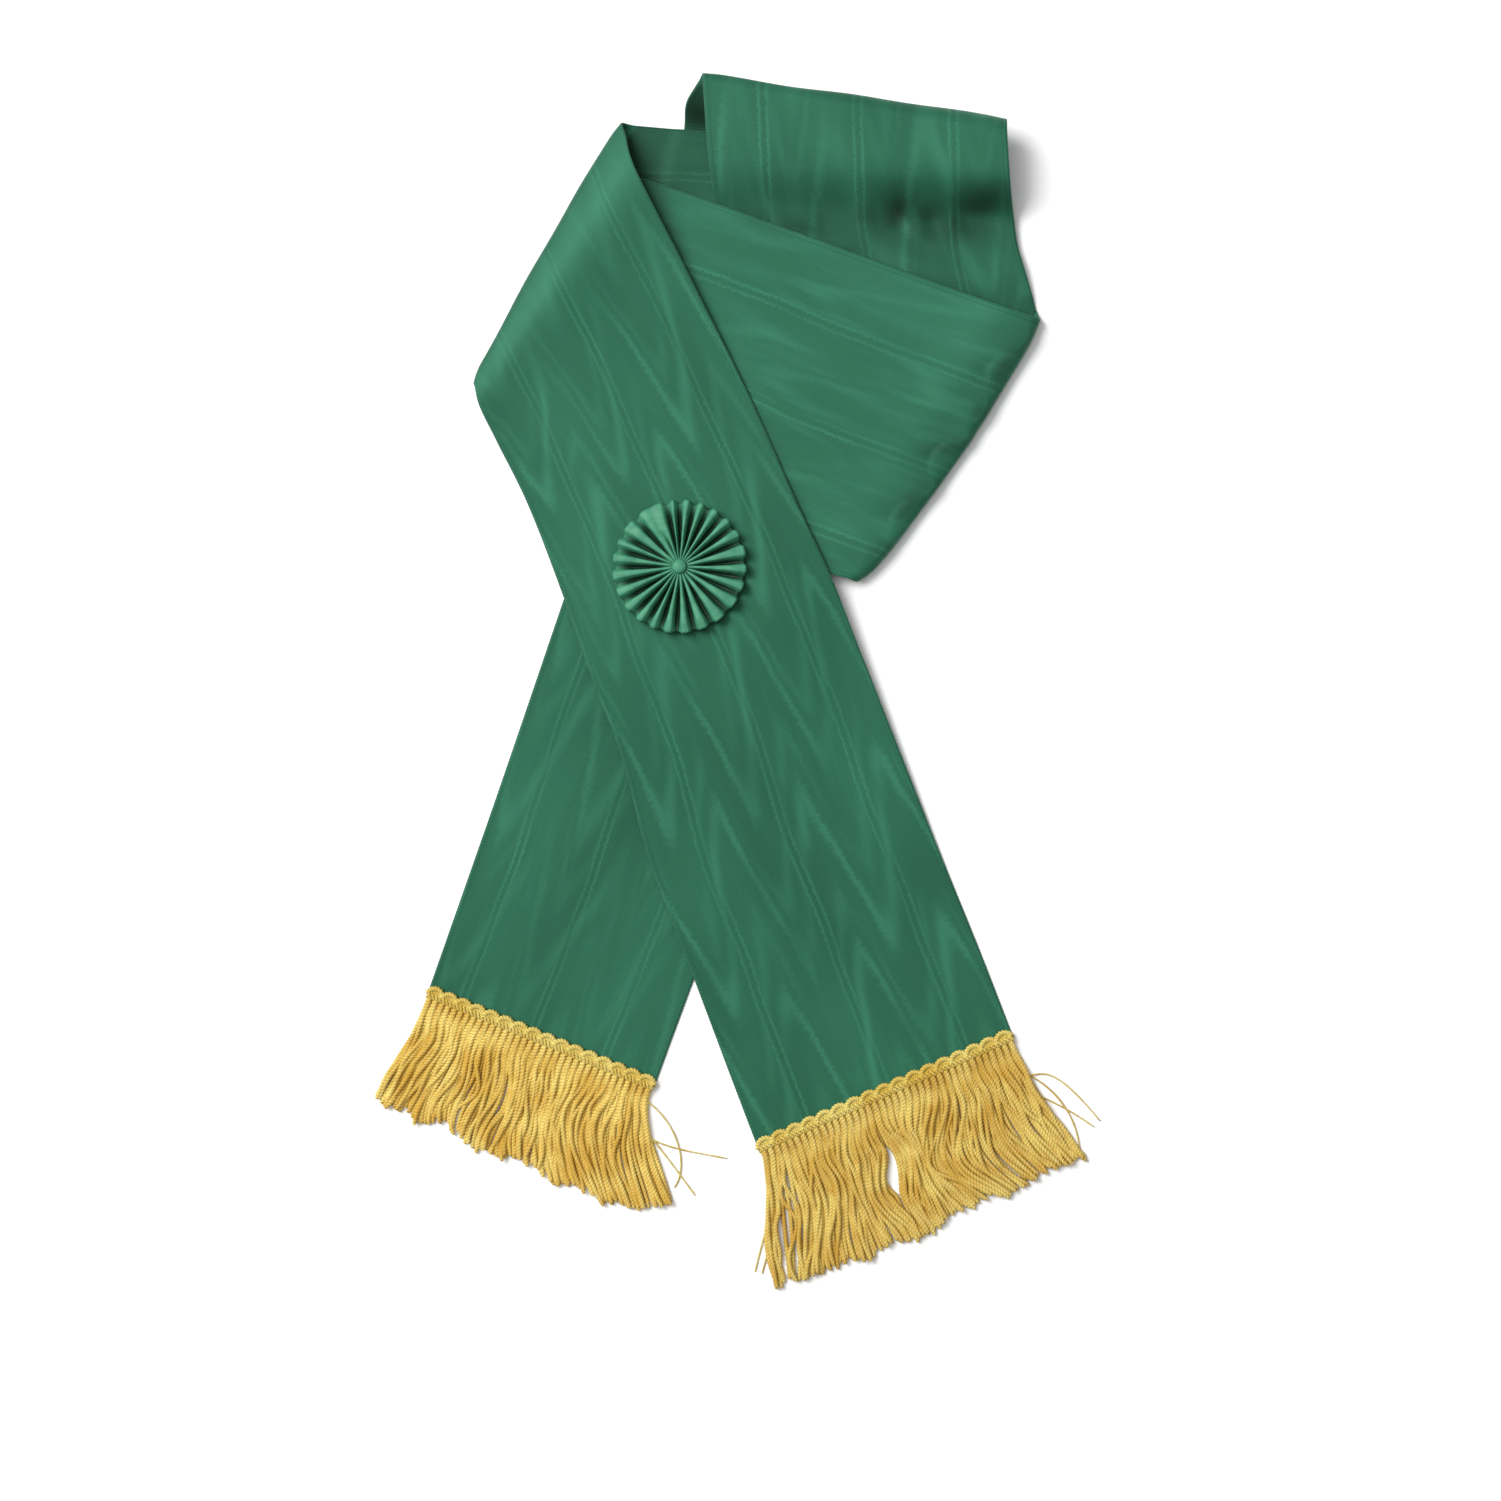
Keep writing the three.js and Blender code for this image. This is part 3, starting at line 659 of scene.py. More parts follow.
# Each lock: how far across and down its tip lies, how far it sways, and whether the skirt opens after it
LOCK_COLUMNS = ["tip_across", "tip_down", "sway", "opens"]
FRONT_LOCKS = [
    (-12, 56, -3, 0.2), (-2, 57.5, 3, 0), (8, 58.5, 2.5, 0), (18, 59.5, 1.5, 0), (27.5, 59.5, -2, 0),
    (37, 60.5, -1.5, 0.3), (46, 60, 2, 0), (55.5, 60, -1.5, 0), (65, 57.5, -4, 0), (75, 57.5, -6, 0),
    (85, 58, -4.5, 0), (95, 58.5, -4, 0.2), (104.5, 58.5, -3, 0), (113, 57.5, -2, 0),
]
BACK_LOCKS = [
    (-1.5, 51.5, 0.5, 0), (7.5, 52.5, -0.5, 0), (17.5, 51.5, -3, 0), (27.5, 50.5, -3, 0.3), (37, 53, 0.5, 0),
    (47, 53.5, 2, 0), (57, 53, -3, 0), (67, 53, -1, 0.3), (77, 53, -1.5, 0), (87, 52.5, -3.5, 0),
    (97, 54, -3.5, 0), (107.5, 53, -3, 0), (119.5, 45.5, -1.5, 0),
]
# Where the skirt lets the floor show through: distances down, the slit's middle there, and its half width
FRONT_PARTINGS = [((24, 33, 43), (49, 43.8, 40.6), 2.3), ((30, 42, 56), (-6, -7, -8), 0.9)]
# Single strands that have strayed from the skirt, each as points across and down
FRONT_STRAYS = [
    [(101.5, 17.0), (110.5, 20.6), (118.4, 25.4), (127.2, 47.5)],
    [(103.0, 14.0), (111.6, 23.4), (117.0, 38.0), (114.8, 56.1)],
    [(104.0, 23.5), (115.0, 35.4), (124.1, 48.7)],
    [(4.0, 18.0), (-10.0, 33.6), (-20.8, 47.2)],
    [(3.0, 24.0), (-9.0, 37.4), (-18.6, 49.0)],
]
BACK_STRAYS = [
    [(92.0, 9.0), (110.0, 15.6), (119.6, 27.0), (120.9, 37.5)],
    [(93.0, 21.0), (107.0, 23.4), (120.0, 22.2), (136.1, 18.9)],
    [(96.0, 18.0), (112.0, 26.6), (129.9, 37.2)],
]


def fringe_place(name, left, right, scallops, bends, seed, locks, partings, strays):
    """A fringe's own directions, across and down the skirt, from the two ends of its scalloped edge."""
    left, right = np.array(left), np.array(right)
    width = float(np.linalg.norm(right - left))
    across = (right - left) / width
    down = np.array([across[1], -across[0]])
    table = {column: np.array(values, float) for column, values in zip(LOCK_COLUMNS, zip(*locks))}
    return {
        "name": name, "left": left, "across": across, "down": down, "width": width, "scallops": scallops,
        "bends": bends, "locks": table, "partings": partings, "strays": strays, "seed": seed,
    }


FRINGES = [
    fringe_place("front_fringe", (12.2, -185.9), (112.2, -142.0), 17, 2.6, 21,
                 FRONT_LOCKS, FRONT_PARTINGS, FRONT_STRAYS),
    fringe_place("back_fringe", (-117.9, -124.3), (-26.9, -161.4), 16, 2.0, 22,
                 BACK_LOCKS, [], BACK_STRAYS),
]
print("fringe widths", [round(fringe["width"], 1) for fringe in FRINGES])

# %% [markdown]
# ### The heading
# From the ribbon side down it has an arched cord, the scallops, with a smaller arch nested in it; then a
# chain of two strands that cross over and over, laid on two straight cords, where the skirt begins. Each is a
# curve across the fringe with a twisted section: a two-ply cord is a circle whose radius swells twice on the
# way round, and turns as it goes.

# %% The cords of the heading
def ply_radius(length, sides, radius, lay, bulge=0.2, plies=2):
    """The radius on each side of a twisted cord: radius (1 + bulge cos plies (angle - 2 pi length / lay))."""
    angle = np.arange(sides) * 2 * np.pi / sides
    return radius * (1 + bulge * np.cos(plies * (angle - 2 * np.pi * length[..., None] / lay)))


def run_lengths(paths):
    """How far along its own path each point lies."""
    steps = np.linalg.norm(np.diff(paths, axis=1), axis=2)
    return np.concatenate([np.zeros((len(paths), 1)), np.cumsum(steps, axis=1)], 1)


def level_sweep(paths, radius):
    """Tubes along nearly level paths: one direction of each ring is level, the other as upright as can be."""
    run = unit(np.gradient(paths, axis=1))
    side = unit(np.cross([0.0, 0.0, 1.0], run))
    return sweep(paths, side, np.cross(run, side), radius)


def to_sash(fringe, across, down, height):
    """Points given across and down a fringe, at a height, in the sash's own x, y and z."""
    plan = fringe["left"] + across[..., None] * fringe["across"] + down[..., None] * fringe["down"]
    return np.concatenate([plan, np.broadcast_to(height, across.shape)[..., None]], -1)


# The chain's two strands: how far down and how high their middle runs, how far they sway and rise from it,
# and the radius and the lay of their cord. Then the same for the straight cords that the chain lies on.
CHAIN_DOWN, CHAIN_HEIGHT, CHAIN_SWAY, CHAIN_RISE = 4.3, 2.1, 0.85, 0.45
CHAIN_CORD = (0.62, 1.7)
BASE_DOWNS, BASE_HEIGHT, BASE_CORD = (3.4, 4.9), 1.25, (0.9, 1.9)
HEADING_STEPS = 24
HEADING_SIDES = 8


def heading_curves(fringe):
    """The curves of the heading as (across, down, height, radius, lay), with t counted in scallops. Between
    two scallops an arch comes down by its depth times (1 + cos turn) / 2, and its way across, t less slack
    sin turn / 2 pi, nearly stands still, which draws its foot together and makes its top broad."""
    pitch = fringe["width"] / fringe["scallops"]
    t = np.linspace(0, fringe["scallops"], fringe["scallops"] * HEADING_STEPS + 1)
    turn = 2 * np.pi * t
    bow = 0.5 + 0.5 * np.cos(turn)
    straight, even = t * pitch, np.ones_like(t)
    outer, inner_arch = ((t - slack * np.sin(turn) / (2 * np.pi)) * pitch for slack in (1.0, 0.6))
    curves = [
        (outer, 0.95 + 2.5 * bow, 2.0 + 0.2 * np.sin(turn), 1.1, 2.2),
        (inner_arch, 2.5 + 1.1 * bow, 1.8 + 0.2 * np.cos(turn), 0.95, 1.9),
    ]
    curves += [(straight, down * even, BASE_HEIGHT * even, *BASE_CORD) for down in BASE_DOWNS]
    for strand in range(2):
        phase = 2 * turn + strand * np.pi + 1
        down, height = CHAIN_DOWN + CHAIN_SWAY * np.sin(phase), CHAIN_HEIGHT + CHAIN_RISE * np.cos(phase)
        curves.append((straight, down, height, *CHAIN_CORD))
    return curves


def make_heading(fringe):
    """All the cords of the heading as one piece. They are closed tubes side by side on the cloth."""
    *places, radii, lays = zip(*heading_curves(fringe))
    paths = to_sash(fringe, *(np.stack(part) for part in places))
    radii, lays = np.array(radii)[:, None, None], np.array(lays)[:, None]
    length = run_lengths(paths)
    rings = level_sweep(paths, ply_radius(length, HEADING_SIDES, radii, lays[..., None]))
    faces = tube_faces(rings.shape[1], HEADING_SIDES, len(rings))
    return make_mesh(fringe["name"] + "_heading", rings, faces, cord_uv(length / lays, HEADING_SIDES))


def cord_uv(turns, sides):
    """The cord map: x is the cord's number plus the share of the way round it, y the twist's turns so far."""
    number = np.arange(len(turns))[:, None, None]
    round_cord = np.broadcast_to(number + np.arange(sides) / sides, (*turns.shape, sides))
    return np.stack([round_cord, np.broadcast_to(turns[..., None], round_cord.shape)], -1)


headings = [make_heading(fringe) for fringe in FRINGES]

# %% [markdown]
# ### The skirt
# A lock's path is a Bézier curve from the heading to its tip. A cord between two locks takes its tip from
# both, so the hem has no steps, while the sway may change at once where the skirt opens. On top of that come
# two kinds of bends: slow ones that neighbours share, and small ones of each cord's own. A few cords stray
# farther and cross their neighbours. In a slit that shows the floor, each cord is pushed to its own side.

# %% The cords of the skirt
CORD_RADIUS = 0.92
BED_RADIUS = 0.9
CORD_LAY = 2.7
PAIR_PITCH = 2.75
PAIR_APART = 0.34
SKIRT_TOP = 5.2
OVER_HEIGHT = 1.4
TIP_THINNING, ROOT_THINNING, END_THINNING = 0.3, 0.08, 0.25
BED_CORDS = 86
BED_RISE = 1.0
SKIRT_STEPS, BED_STEPS = 136, 84
# How far down the Bézier curve's second point lies, and its third, as a share of the tip's distance
FIRST_HANDLE, SECOND_HANDLE = 18.4, 0.6
# How far tips spread, most a little and some a lot, with the share of the cords; the same for own bends
TIP_SPREADS, TIP_SHARES = [0.9, 4.5], [0.86, 0.14]
OWN_BENDS, OWN_SHARES = [0.6, 1.0, 2.2], [0.5, 0.35, 0.15]


def slit_push(across, down, parting):
    """How far each cord is pushed across by a parting. It stays on the side where most of it lies, keeps
    clear of the slit's middle by the smooth maximum of its distance and 0, and is moved by the slit's half
    width more, which fades out farther from the slit."""
    downs, middles, half = parting
    aside = across - np.interp(down, downs, middles)
    slit = np.sin(np.pi * np.clip((down - downs[0]) / (downs[-1] - downs[0]), 0, 1))
    side = np.where((aside * slit).sum(axis=1, keepdims=True) < 0, -1.0, 1.0)
    clear_by = 0.5 * np.logaddexp(0, side * aside / 0.5)
    return side * slit * (clear_by - side * aside + half * np.exp(-clear_by / 7))


def skirt_paths(fringe, roots, steps, shared_bend, own_bend, rng):
    """Paths of cords that start at the given places: cubic Bézier curves plus shared and own bends."""
    locks, width = fringe["locks"], fringe["width"]
    spacing = width / len(locks["sway"])
    lock_roots = (np.arange(len(locks["sway"])) + 0.5) * spacing
    tip_across = roots + np.interp(roots, lock_roots, locks["tip_across"] - lock_roots)
    tip_down = np.interp(roots, lock_roots, locks["tip_down"])
    place = roots / spacing - 0.5
    before = np.clip(np.floor(place).astype(int), 0, len(lock_roots) - 2)
    blend_width = 0.5 - 0.46 * locks["opens"][before]
    blend = smoothstep(place - before, 0.5 - blend_width, 0.5 + blend_width)
    sway = locks["sway"][before] * (1 - blend) + locks["sway"][before + 1] * blend

    astray = rng.choice(TIP_SPREADS, len(roots), p=TIP_SHARES)
    tip_across = tip_across + own_bend * astray * rng.normal(size=len(roots))
    tip_down = tip_down + 0.9 * ripples(roots, 0, 11, 9, 8, fringe["seed"] + 5)
    tip_down = tip_down + rng.uniform(-1.2, 0.6, len(roots))
    t = np.linspace(0, 1, steps)[None]
    b0, b1, b2, b3 = (1 - t) ** 3, 3 * t * (1 - t) ** 2, 3 * t**2 * (1 - t), t**3
    root, tip, swing = roots[:, None], tip_across[:, None], sway[:, None]
    across = root * (b0 + b1) + ((root + tip) / 2 + 2 * swing) * b2 + tip * b3
    down = SKIRT_TOP * b0 + FIRST_HANDLE * b1 + tip_down[:, None] * (SECOND_HANDLE * b2 + b3)

    free = smoothstep(down, 8, 22)
    inside = smoothstep(np.minimum(root, width - root), -4, 14)
    waving = ripples(root + 0 * down, down, 40, 36, 12, fringe["seed"])
    shared = shared_bend * fringe["bends"] * inside * waving
    count = (len(roots), 1)
    turns = down / rng.uniform(22, 38, count) + rng.uniform(size=count)
    own = own_bend * rng.choice(OWN_BENDS, count, p=OWN_SHARES) * np.sin(2 * np.pi * turns)
    across = across + free * (shared + own)
    for parting in fringe["partings"]:
        across = across + slit_push(across, down, parting)
    return across, down


def skirt_heights(down, radius, rng):
    """Heights of cords that leave the heading, come down past the cloth's end and lie over one another."""
    count = (len(down), 1)
    over = 0.5 + 0.5 * np.sin(2 * np.pi * (down / rng.uniform(24, 50, count) + rng.uniform(size=count)))
    lying = radius + 0.05 + OVER_HEIGHT * over * smoothstep(down, 8, 20)
    on_cloth = (CLOTH_TOP - 0.15 * over) * (1 - smoothstep(down, 5.5, 14))
    return lying + on_cloth + 0.5 * (1 - smoothstep(down, 5, 11))


def make_cords(name, fringe, across, down, height, radius, sides, lay):
    """Cords as one piece: twisted tubes, thinner where they are drawn into the heading and at the tip."""
    paths = to_sash(fringe, across, down, height)
    length = run_lengths(paths)
    tip = length[:, -1:]
    thinning = 1 - TIP_THINNING * smoothstep(length, tip - 2.0, tip)
    thinning = thinning - ROOT_THINNING * smoothstep(-length, -9, -3)
    thinning = thinning - END_THINNING * smoothstep(-length, -1.2, 0)
    rings = level_sweep(paths, ply_radius(length, sides, radius, lay, bulge=0.17) * thinning[..., None])
    return make_mesh(name, rings, tube_faces(rings.shape[1], sides, len(rings)), cord_uv(length / lay, sides))


def make_skirt(fringe):
    """The upper cords, two to a pair, and the thinner bed of cords that fills the skirt below them."""
    rng = np.random.default_rng(fringe["seed"])
    pairs = int(fringe["width"] / PAIR_PITCH)
    middles = (np.arange(pairs) + 0.5) * fringe["width"] / pairs
    roots = np.sort(np.concatenate([middles - PAIR_APART, middles + PAIR_APART]))
    across, down = skirt_paths(fringe, roots, SKIRT_STEPS, 1.0, 0.85, rng)
    height = skirt_heights(down, CORD_RADIUS, rng)
    upper = make_cords(fringe["name"] + "_cords", fringe, across, down, height, CORD_RADIUS, 8, CORD_LAY)
    roots = np.linspace(1.0, fringe["width"] - 1.0, BED_CORDS)
    across, down = skirt_paths(fringe, roots, BED_STEPS, 0.4, 0.2, rng)
    height = 0.85 * BED_RADIUS + 0.03 + 0.15 * BED_RADIUS * smoothstep(down, 8, 15)
    down = down - BED_RISE
    bed = make_cords(fringe["name"] + "_bed", fringe, across, down, height, BED_RADIUS, 6, CORD_LAY)
    return [upper, bed]


skirts = [piece for fringe in FRINGES for piece in make_skirt(fringe)]

# %% [markdown]
# ### Strays
# A few single strands have come loose and lie beside the skirt. Each starts out of sight among the cords,
# passes one or two points and ends on the floor. A polynomial through so few points is as smooth as a stiff
# strand is, and the tubes are made by the same helper as the cords, only thinner.

# %% Stray strands
STRAY_STEPS = 60
STRAY_RADIUS = 0.3
STRAY_LAY = 1.6


def smooth_path(points, steps):
    """A quadratic or cubic through a few points: the polynomial that meets them at even shares of the way."""
    points = np.array(points)
    share_at = np.linspace(0, 1, len(points))
    t = np.linspace(0, 1, steps)
    return np.stack([np.polyval(np.polyfit(share_at, column, len(points) - 1), t) for column in points.T])


def make_strays(fringe):
    """The strays as one piece, thin and smooth, each starting inside the skirt and ending on the floor."""
    across, down = np.stack([smooth_path(points, STRAY_STEPS) for points in fringe["strays"]], axis=1)
    height = STRAY_RADIUS + 0.05 + 0.9 * (1 - np.linspace(0, 1, STRAY_STEPS)) ** 2 + 0 * across
    name = fringe["name"] + "_strays"
    return make_cords(name, fringe, across, down, height, STRAY_RADIUS, 6, STRAY_LAY)


strays = [make_strays(fringe) for fringe in FRINGES]

# %% [markdown]
# ## The rosette
# A strip of ribbon is pleated, its ends are joined, and one edge is drawn together in the middle, so that the
# pleats stand like the rays of a wheel. Seen from above the top of each pleat is light and the groove beside
# it dark. The sheet is a height over the angle and the radius. The grooves aren't evenly spaced on a pleated
# thing made by hand, so their bearings are a short table.

# %% The pleats
ROSETTE_RADIUS = 27.0
ROSETTE_FOOT = 8.15
ROSETTE_TOP = 13.9
EYE_RADIUS = 3.6
EYE_DEPTH, PLEAT_DEPTH = 0.25, 4.0
PLEAT_SHEET = 0.5
# All in degrees: how far a groove's wall slopes, the bearing of one that is only a crease, and the grooves'
GROOVE_SLOPE = 4.9
HALF_GROOVE = 114.0
GROOVES = np.array([
    4.6, 22.0, 36.8, 50.5, 64.3, 77.2, 90.5, 102.0, 131.5, 150.1, 163.7, 179.0, 194.9, 210.4, 225.6,
    239.6, 252.6, 267.2, 282.7, 299.0, 316.5, 334.0, 349.5,
])


def pleat_height(angle, radius):
    """1 on top of a pleat and 0 in a groove: smoothstep of the angle to the nearest groove, in degrees."""
    apart = np.abs((angle[..., None] - GROOVES + 180) % 360 - 180).min(axis=-1)
    groove = 0.2 + 0.4 * smoothstep(radius, 4, 12) * (1 - 0.6 * smoothstep(radius, 18, 27))
    plate = smoothstep(apart, groove, groove + GROOVE_SLOPE)
    crease = 0.7 * (1 - smoothstep(np.abs(angle - HALF_GROOVE), 0.8, 4.2)) * (1 - smoothstep(radius, 8, 17))
    crown = 0.14 * np.cos(np.clip((apart - 8) / 10, -0.5, 0.5) * np.pi) - 0.07
    return plate - crease + crown * plate * radius / ROSETTE_RADIUS


def make_pleats():
    """The pleated sheet: out from the eye over the top, down the rim to the foot, and back under the sheet.
    Its map holds the painted light, from the pleat's height and depth, and the radius in metres."""
    bearings = np.append(GROOVES, GROOVES[0] + 360)
    angle = np.interp(np.arange(len(GROOVES) * 24) / 24, np.arange(len(bearings)), bearings)[:, None]
    t = np.linspace(0, 1, 24)[None]
    reach = ROSETTE_RADIUS * (0.984 + 0.016 * (pleat_height(angle, ROSETTE_RADIUS) * 2 - 1))
    radius = EYE_RADIUS - 0.9 + (reach - EYE_RADIUS + 0.9) * t
    away = 0.5 + 0.5 * np.cos(np.radians(angle + 30))
    shallow = (0.6 - 0.3 * away) * smoothstep(radius, 18, 27)
    depth = EYE_DEPTH + PLEAT_DEPTH * smoothstep(radius, EYE_RADIUS - 2, 12) * (1 - shallow)
    top = ROSETTE_TOP - 1.0 + 0.9 * radius / ROSETTE_RADIUS - 0.9 * smoothstep(radius, 21, 27)
    raised = pleat_height(angle, radius)
    height = top - depth * (1 - raised)
    wall = np.linspace(0.12, 1, 5)[None]
    wall_height = height[:, -1:] + (ROSETTE_FOOT + 0.1 - height[:, -1:]) * wall
    wall_radius = reach - 0.45 + 0 * wall
    wide = np.concatenate([radius, wall_radius, wall_radius[:, ::-1] - 0.4, radius[:, ::-1]], 1)
    tall = np.concatenate([height, wall_height, wall_height[:, ::-1], height[:, ::-1] - PLEAT_SHEET], 1)
    # Painted light for the satin: 1 on a pleat's top, less down its groove, and almost none on the rim's wall
    # and under the sheet, which get painted shade
    lit = 1 - depth * (1 - raised) / (EYE_DEPTH + PLEAT_DEPTH)
    painted_pleat_light = np.concatenate([lit, 0.15 + 0 * wall_height, 0 * wall_height, 0 * raised], 1)
    x, y = wide * np.cos(np.radians(angle)), wide * np.sin(np.radians(angle))
    rings = np.stack([x + ROSETTE_PLACE[0], y + ROSETTE_PLACE[1], tall], -1)
    uv = np.stack([painted_pleat_light, wide * MM], -1)
    return make_mesh("rosette_pleats", rings, [grid_faces(len(angle), rings.shape[1], wrap_rows=True)], uv)


def turned(name, profile, sides, wave=0.0, waves=12):
    """A body turned from (radius, height) pairs that go from the foot's middle out and over to the top's."""
    profile = np.array(profile, float)
    angle = np.arange(sides) * 2 * np.pi / sides
    swell = wave * np.sin(np.linspace(0, np.pi, len(profile)))[:, None]
    radius = profile[:, :1] * (1 + swell * np.cos(waves * angle))
    rings = np.stack([
        ROSETTE_PLACE[0] + radius * np.cos(angle), ROSETTE_PLACE[1] + radius * np.sin(angle),
        np.broadcast_to(profile[:, 1:], radius.shape),
    ], -1)
    return make_mesh(name, rings, tube_faces(len(profile), sides))


pleats = make_pleats()
foot = [(0.5, 0.0), (24.5, 0.0), (25, 0.3), (24.5, 0.7), (4.4, 0.7), (4.2, 4.15), (3.5, 4.7), (0.5, 4.75)]
backing = turned("rosette_backing", [(radius, ROSETTE_FOOT + height) for radius, height in foot], 64)

# %% [markdown]
# The button is a small dome with ribbon drawn tight over it and tucked in below. Its outline, a little more
# than a quarter of an ellipse, is turned about the rosette's axis. The cloth's tucks show only as a slight
# wave round the dome, which is a change of the radius with the angle.

# %% The covered button
BUTTON_RADIUS = 2.9
BUTTON_FOOT = 12.8
BUTTON_HEIGHT = 2.3
BUTTON_RIM = 0.7

dome = np.linspace(-0.35, 1.52, 16)
dome_height = BUTTON_FOOT + BUTTON_RIM + (BUTTON_HEIGHT - BUTTON_RIM) * np.sin(dome)
button_profile = [(0.4, BUTTON_FOOT), *zip(BUTTON_RADIUS * np.cos(dome), dome_height)]
button = turned("rosette_button_cover", button_profile, 48, wave=0.012)

# %% [markdown]
# ## Shader helpers
# A material is a small tree of nodes. A long pattern reads more easily as a formula than as a list of nodes,
# so a number in a tree gets a small class: each sign between two of them adds the Math node that works it
# out. The other helpers add a node and set it up, start a group with named sockets, so that an effect is
# built once and used in every material that shows it, and fill the inputs of a shader.

# %% Node helpers
def srgb(red, green, blue):
    """A colour as seen on a screen, 0 to 255, in the linear values that a shader wants."""
    c = np.array([red, green, blue]) / 255
    linear = np.where(c <= 0.04045, c / 12.92, ((c + 0.055) / 1.055) ** 2.4)
    return (*[float(x) for x in linear], 1.0)


def feed(tree, socket, value):
    """Joins an output to the socket, or sets a plain number or vector on it."""
    value = value.output if isinstance(value, Number) else value
    if isinstance(value, bpy.types.NodeSocket):
        tree.links.new(value, socket)
    else:
        socket.default_value = value


def add_node(tree, kind, inputs=(), **settings):
    """A node with its settings and inputs. inputs pairs a socket's name or number with what it gets."""
    node = tree.nodes.new(kind)
    for name, value in settings.items():
        setattr(node, name, value)
    for key, value in dict(inputs).items():
        feed(tree, node.inputs[key], value)
    return node


class Number:
    """A number in a tree of nodes. Each sign and method adds the node that works out a new one from it."""

    def __init__(self, tree, output):
        self.tree, self.output = tree, output

    def math(self, operation, *others):
        """What a Math node makes of this number and the others."""
        node = add_node(self.tree, "ShaderNodeMath", enumerate([self, *others]), operation=operation)
        return Number(self.tree, node.outputs[0])

    def ramp(self, low, high, to_low=0.0, to_high=1.0):
        """Goes softly from to_low to to_high as this number goes from low to high."""
        inputs = {"Value": self, "From Min": low, "From Max": high, "To Min": to_low, "To Max": to_high}
        node = add_node(self.tree, "ShaderNodeMapRange", inputs, interpolation_type="SMOOTHSTEP")
        return Number(self.tree, node.outputs["Result"])

    def ramps(self, table):
        """The sum of the ramps whose four numbers are the rows of the table."""
        first, *rest = [self.ramp(*row) for row in table]
        return sum(rest, first)

    def __add__(self, other):
        return self.math("ADD", other)

    def __sub__(self, other):
        return self.math("SUBTRACT", other)

    def __mul__(self, other):
        return self.math("MULTIPLY", other)

    def __truediv__(self, other):
        return self.math("DIVIDE", other)

    def __pow__(self, other):
        return self.math("POWER", other)


def split(tree, vector):
    """The x and the y of a vector."""
    node = add_node(tree, "ShaderNodeSeparateXYZ", {0: vector})
    return Number(tree, node.outputs["X"]), Number(tree, node.outputs["Y"])


def vector_of(tree, x, y, z=0.0):
    """The vector with these three numbers."""
    return add_node(tree, "ShaderNodeCombineXYZ", {"X": x, "Y": y, "Z": z}).outputs[0]


def noise(tree, vector, scale=1.0, detail=1.0, roughness=0.5):
    """Soft random numbers, about 0.5 on the average: a Noise Texture."""
    inputs = {"Vector": vector, "Scale": scale, "Detail": detail, "Roughness": roughness}
    return Number(tree, add_node(tree, "ShaderNodeTexNoise", inputs).outputs[0])


def blend_colours(tree, factor, first, second):
    """The colour that goes from first to second as factor goes from 0 to 1."""
    mix = add_node(tree, "ShaderNodeMix", {0: factor, 6: first, 7: second}, data_type="RGBA")
    return mix.outputs[2]


def cloth_uv(tree):
    """The piece's own map. On the ribbon x is the share across it and y the way along it in metres."""
    return add_node(tree, "ShaderNodeUVMap", uv_map="cloth").outputs[0]


def new_group(name, sockets_in, sockets_out):
    """A node group and its two end nodes. An input is a number with the given value, or a vector for None."""
    group = bpy.data.node_groups.new(name, "ShaderNodeTree")
    for title, value in sockets_in.items():
        kind = "NodeSocketVector" if value is None else "NodeSocketFloat"
        socket = group.interface.new_socket(title, in_out="INPUT", socket_type=kind)
        if value is not None:
            socket.default_value = value
    for title in sockets_out:
        group.interface.new_socket(title, in_out="OUTPUT", socket_type="NodeSocketFloat")
    return group, group.nodes.new("NodeGroupInput"), group.nodes.new("NodeGroupOutput")


def use_group(tree, group, inputs):
    """The numbers that a group puts out where it is placed in a tree."""
    node = add_node(tree, "ShaderNodeGroup", inputs, node_tree=group)
    return [Number(tree, output) for output in node.outputs]


def new_material(name):
    """A material with a Principled BSDF, and its tree and shader."""
    material = bpy.data.materials.new(name)
    material.use_nodes = True
    tree = material.node_tree
    return material, tree, tree.nodes["Principled BSDF"]


def fill_shader(tree, shader, bump, inputs):
    """Feeds a shader. bump is the strength, the distance in metres and the height of its Bump node."""
    strength, distance, height = bump
    bump_inputs = {"Strength": strength, "Distance": distance, "Height": height}
    inputs["Normal"] = add_node(tree, "ShaderNodeBump", bump_inputs).outputs[0]
    for title, value in inputs.items():
        feed(tree, shader.inputs[title], value)


# %% [markdown]
# ## Moiré
# Moiré is a figure pressed into a ribbed cloth: two layers go through a hot calender together, and where the
# ribs of one crush those of the other, the light falls differently. On this ribbon it is three double lines
# that run the whole length, and between them long flames in zigzag, each flame's point lying beside a line.
# The figure is drawn in the ribbon's own map, so it turns over with every fold. A flame is a band where the
# distance along the ribbon, less a zigzag across it, comes round to a whole number of repeats.

# %% The moiré figure
RIBBON_WIDTH = 107.0
LINE_SHARE = 0.195
LINE_SPACING = 0.316
LINE_HALF = 1.45
FLAME_HEIGHT = 68.0
FLAME_REPEAT = 71.5
FLAME_START = 58.0
FLAME_LOW, FLAME_HIGH = 0.67, 0.31
ECHO_LAG, ECHO_SHARPNESS = 2.3, 9.0

